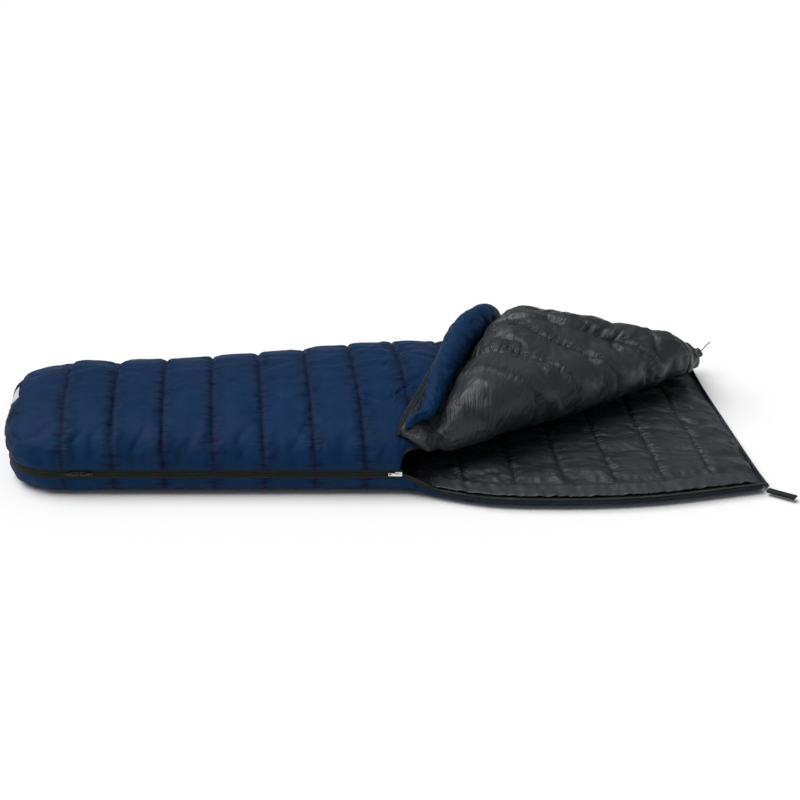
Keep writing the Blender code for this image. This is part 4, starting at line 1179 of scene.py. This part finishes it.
def makeFacing():
    # flat band along the loose edge of the lining, gathered a little by its sewing
    xs = np.arange(bag["sliderX"] + 0.075, headX - 0.02, 0.004)
    count = trims["facingColumns"]
    middle = count // 2
    rows = []
    for x in xs:
        line = evenRow([bottomInner(x, s) for s in np.linspace(0.0, 0.5, 120)], 300)
        row = atRuns(line, np.linspace(trims["facingStart"], trims["facingWidth"], count))
        for j in range(count):
            wave = noise.noise(Vector((x / trims["rufflePitch"], j * 0.07, 9)))
            tuck = ridged(Vector((x / trims["rufflePitch"] * 3.1, j * 0.05, 4))) * abs(j - middle) / middle
            row[j, 2] += 0.0036 + trims["ruffle"] * (1.6 * wave + 0.6 * tuck)
        rows.append(row)
    rows = np.array(rows)
    rings = np.concatenate([rows + (0, 0, 0.0005), (rows - (0, 0, 0.0005))[:, ::-1]], axis=1)
    piece = ringMesh("zip_facing_cloth", rings, clothPlaces(rings, xs), [0] * rings.shape[1])
    piece.data.materials.append(facingCloth)
    piece.data.shade_smooth()
    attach(piece, "bag")
    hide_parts("zip_facing")
    print("facing made")


facingLook = dict(liningLook, dark=(0.012, 0.0155, 0.0185, 1), light=(0.034, 0.041, 0.046, 1), roughness=0.5,
                  creaseDepth=0.0020)
facingCloth = quiltedCloth("facingTaffeta", facingLook, seamPitch=False)


def makeCord():
    # the free end: out of the channel, through the lock, to its bare tip
    lockAt = Vector((0.976, 0.334, 0.066))
    turn, tilt = math.radians(24), math.radians(35)
    through = Vector((math.cos(turn) * math.cos(tilt), math.sin(turn) * math.cos(tilt), math.sin(tilt)))
    path = neckPath()
    leaving = path[-1]
    outside = leaving + (leaving - path[-2]).normalized() * 0.006
    route = [leaving, outside, lockAt - through * 0.013, lockAt + through * 0.0474]
    data = bpy.data.curves.new("free_drawcord", "CURVE")
    data.dimensions = "3D"
    data.bevel_depth = trims["cordRadius"]
    data.bevel_resolution = 3
    data.use_fill_caps = True
    spline = data.splines.new("POLY")
    spline.points.add(len(route) - 1)
    for point, place in zip(spline.points, route):
        point.co = (*place, 1)
    piece = makeObject("free_drawcord", data)
    data.materials.append(blackPlastic)
    length = pathLength(route)
    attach(piece, "bag")
    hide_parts("drawcord")
    print("cord made:", round(length * 1000), "mm free")


def makeTab():
    piece = mergedCopy("end_tab", "webbing_tab")
    bpy.ops.uv.smart_project()
    bpy.ops.object.mode_set(mode="OBJECT")
    piece.data.uv_layers[0].name = "cloth"
    low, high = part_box("end_tab")
    reach = (high - low).length
    for corner in piece.data.uv_layers[0].data:
        corner.uv = corner.uv * reach
    piece.data.materials.append(webbingCloth)
    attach(piece, "end_tab")
    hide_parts("end_tab")


label = {
    "rows": 7,
    "columns": 13,
    "rise": 0.030,
    "width": 0.062,
    "slope": Vector((0.55, 0, 0.84)),  # up the foot end
    "out": Vector((-0.84, 0, 0.55)),
    "off": 0.0012,
    "thickness": 0.0009,
}


def makeLabel(quilt):
    # blank woven patch on the foot end, laid on the quilt's own surface
    low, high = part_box("foot_label")
    middle = (low + high) / 2
    evaluated = quilt.evaluated_get(bpy.context.evaluated_depsgraph_get())
    rows = []
    for up in range(label["rows"]):
        row = []
        for side in range(label["columns"]):
            aside = (side / (label["columns"] - 1) - 0.5) * label["width"]
            place = middle + label["slope"] * ((up / (label["rows"] - 1) - 0.5) * label["rise"])
            place += Vector((0, aside, 0))
            found, hit, normal, _ = evaluated.ray_cast(place + label["out"] * 0.06, -label["out"])
            seat, facing = (hit, normal) if found else (place, label["slope"])
            row.append(tuple(seat + facing * label["off"]))
        rows.append(row)
    rows = np.array(rows)
    back = rows - np.array(label["out"]) * label["thickness"]
    rings = np.concatenate([rows, back[:, ::-1]], axis=1)
    piece = ringMesh("foot_patch", rings, clothPlaces(rings, rows[:, 6, 2]), [0] * rings.shape[1])
    piece.data.materials.append(labelWeave)
    piece.data.shade_smooth()
    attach(piece, "bag")
    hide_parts("foot_label")


# camera, light and floor
studio = {
    "cameraAt": Vector((-0.37, -3.988, 1.9675)),
    "lookAt": Vector((0.04, 0.0, 0.108)),
    "lens": 72.4,
    "floor": (0.93, 0.93, 0.93, 1),
    "sky": 0.27,
    "sunPower": 2.95,
    "sunFrom": Vector((-0.55, 0.10, 1.0)),
    "sunWidth": math.radians(60),
}


def makeStudio():
    camera = bpy.data.cameras.new("camera")
    camera.lens = studio["lens"]
    camera.sensor_width = 36
    holder = makeObject("camera", camera)
    holder.location = studio["cameraAt"]
    holder.rotation_euler = (studio["lookAt"] - studio["cameraAt"]).to_track_quat("-Z", "Y").to_euler()
    bpy.context.scene.camera = holder
    light = bpy.data.lights.new("softbox", "SUN")
    light.energy = studio["sunPower"]
    light.angle = studio["sunWidth"]
    lamp = makeObject("softbox", light)
    lamp.rotation_euler = (-studio["sunFrom"]).to_track_quat("-Z", "Y").to_euler()
    world = bpy.data.worlds.new("studio")
    world.use_nodes = True
    world.node_tree.nodes["Background"].inputs[0].default_value = (1, 1, 1, 1)
    world.node_tree.nodes["Background"].inputs[1].default_value = studio["sky"]
    bpy.context.scene.world = world
    bpy.context.scene.view_settings.view_transform = "Standard"
    bpy.ops.object.select_all(action="DESELECT")
    bpy.ops.mesh.primitive_plane_add(size=60, location=(0, 0, -0.0005))
    floor = bpy.context.active_object
    floor.name = "floor"
    paint = Finish("paleFloor", {"Roughness": 0.9, "Base Color": studio["floor"], "Specular IOR Level": 0.1})
    floor.data.materials.append(paint.material)
    print("studio made")


makeStudio()
barrel, button, spring = makeHardware()
makeCord()
quilt = makeTopQuilt()
makeBottomQuilt()
makeFlapQuilt()
makeDraftTube()
makeClosedDraftTube()
makeZip()
makeHems()
makeFacing()
makeTab()
makeLabel(quilt)
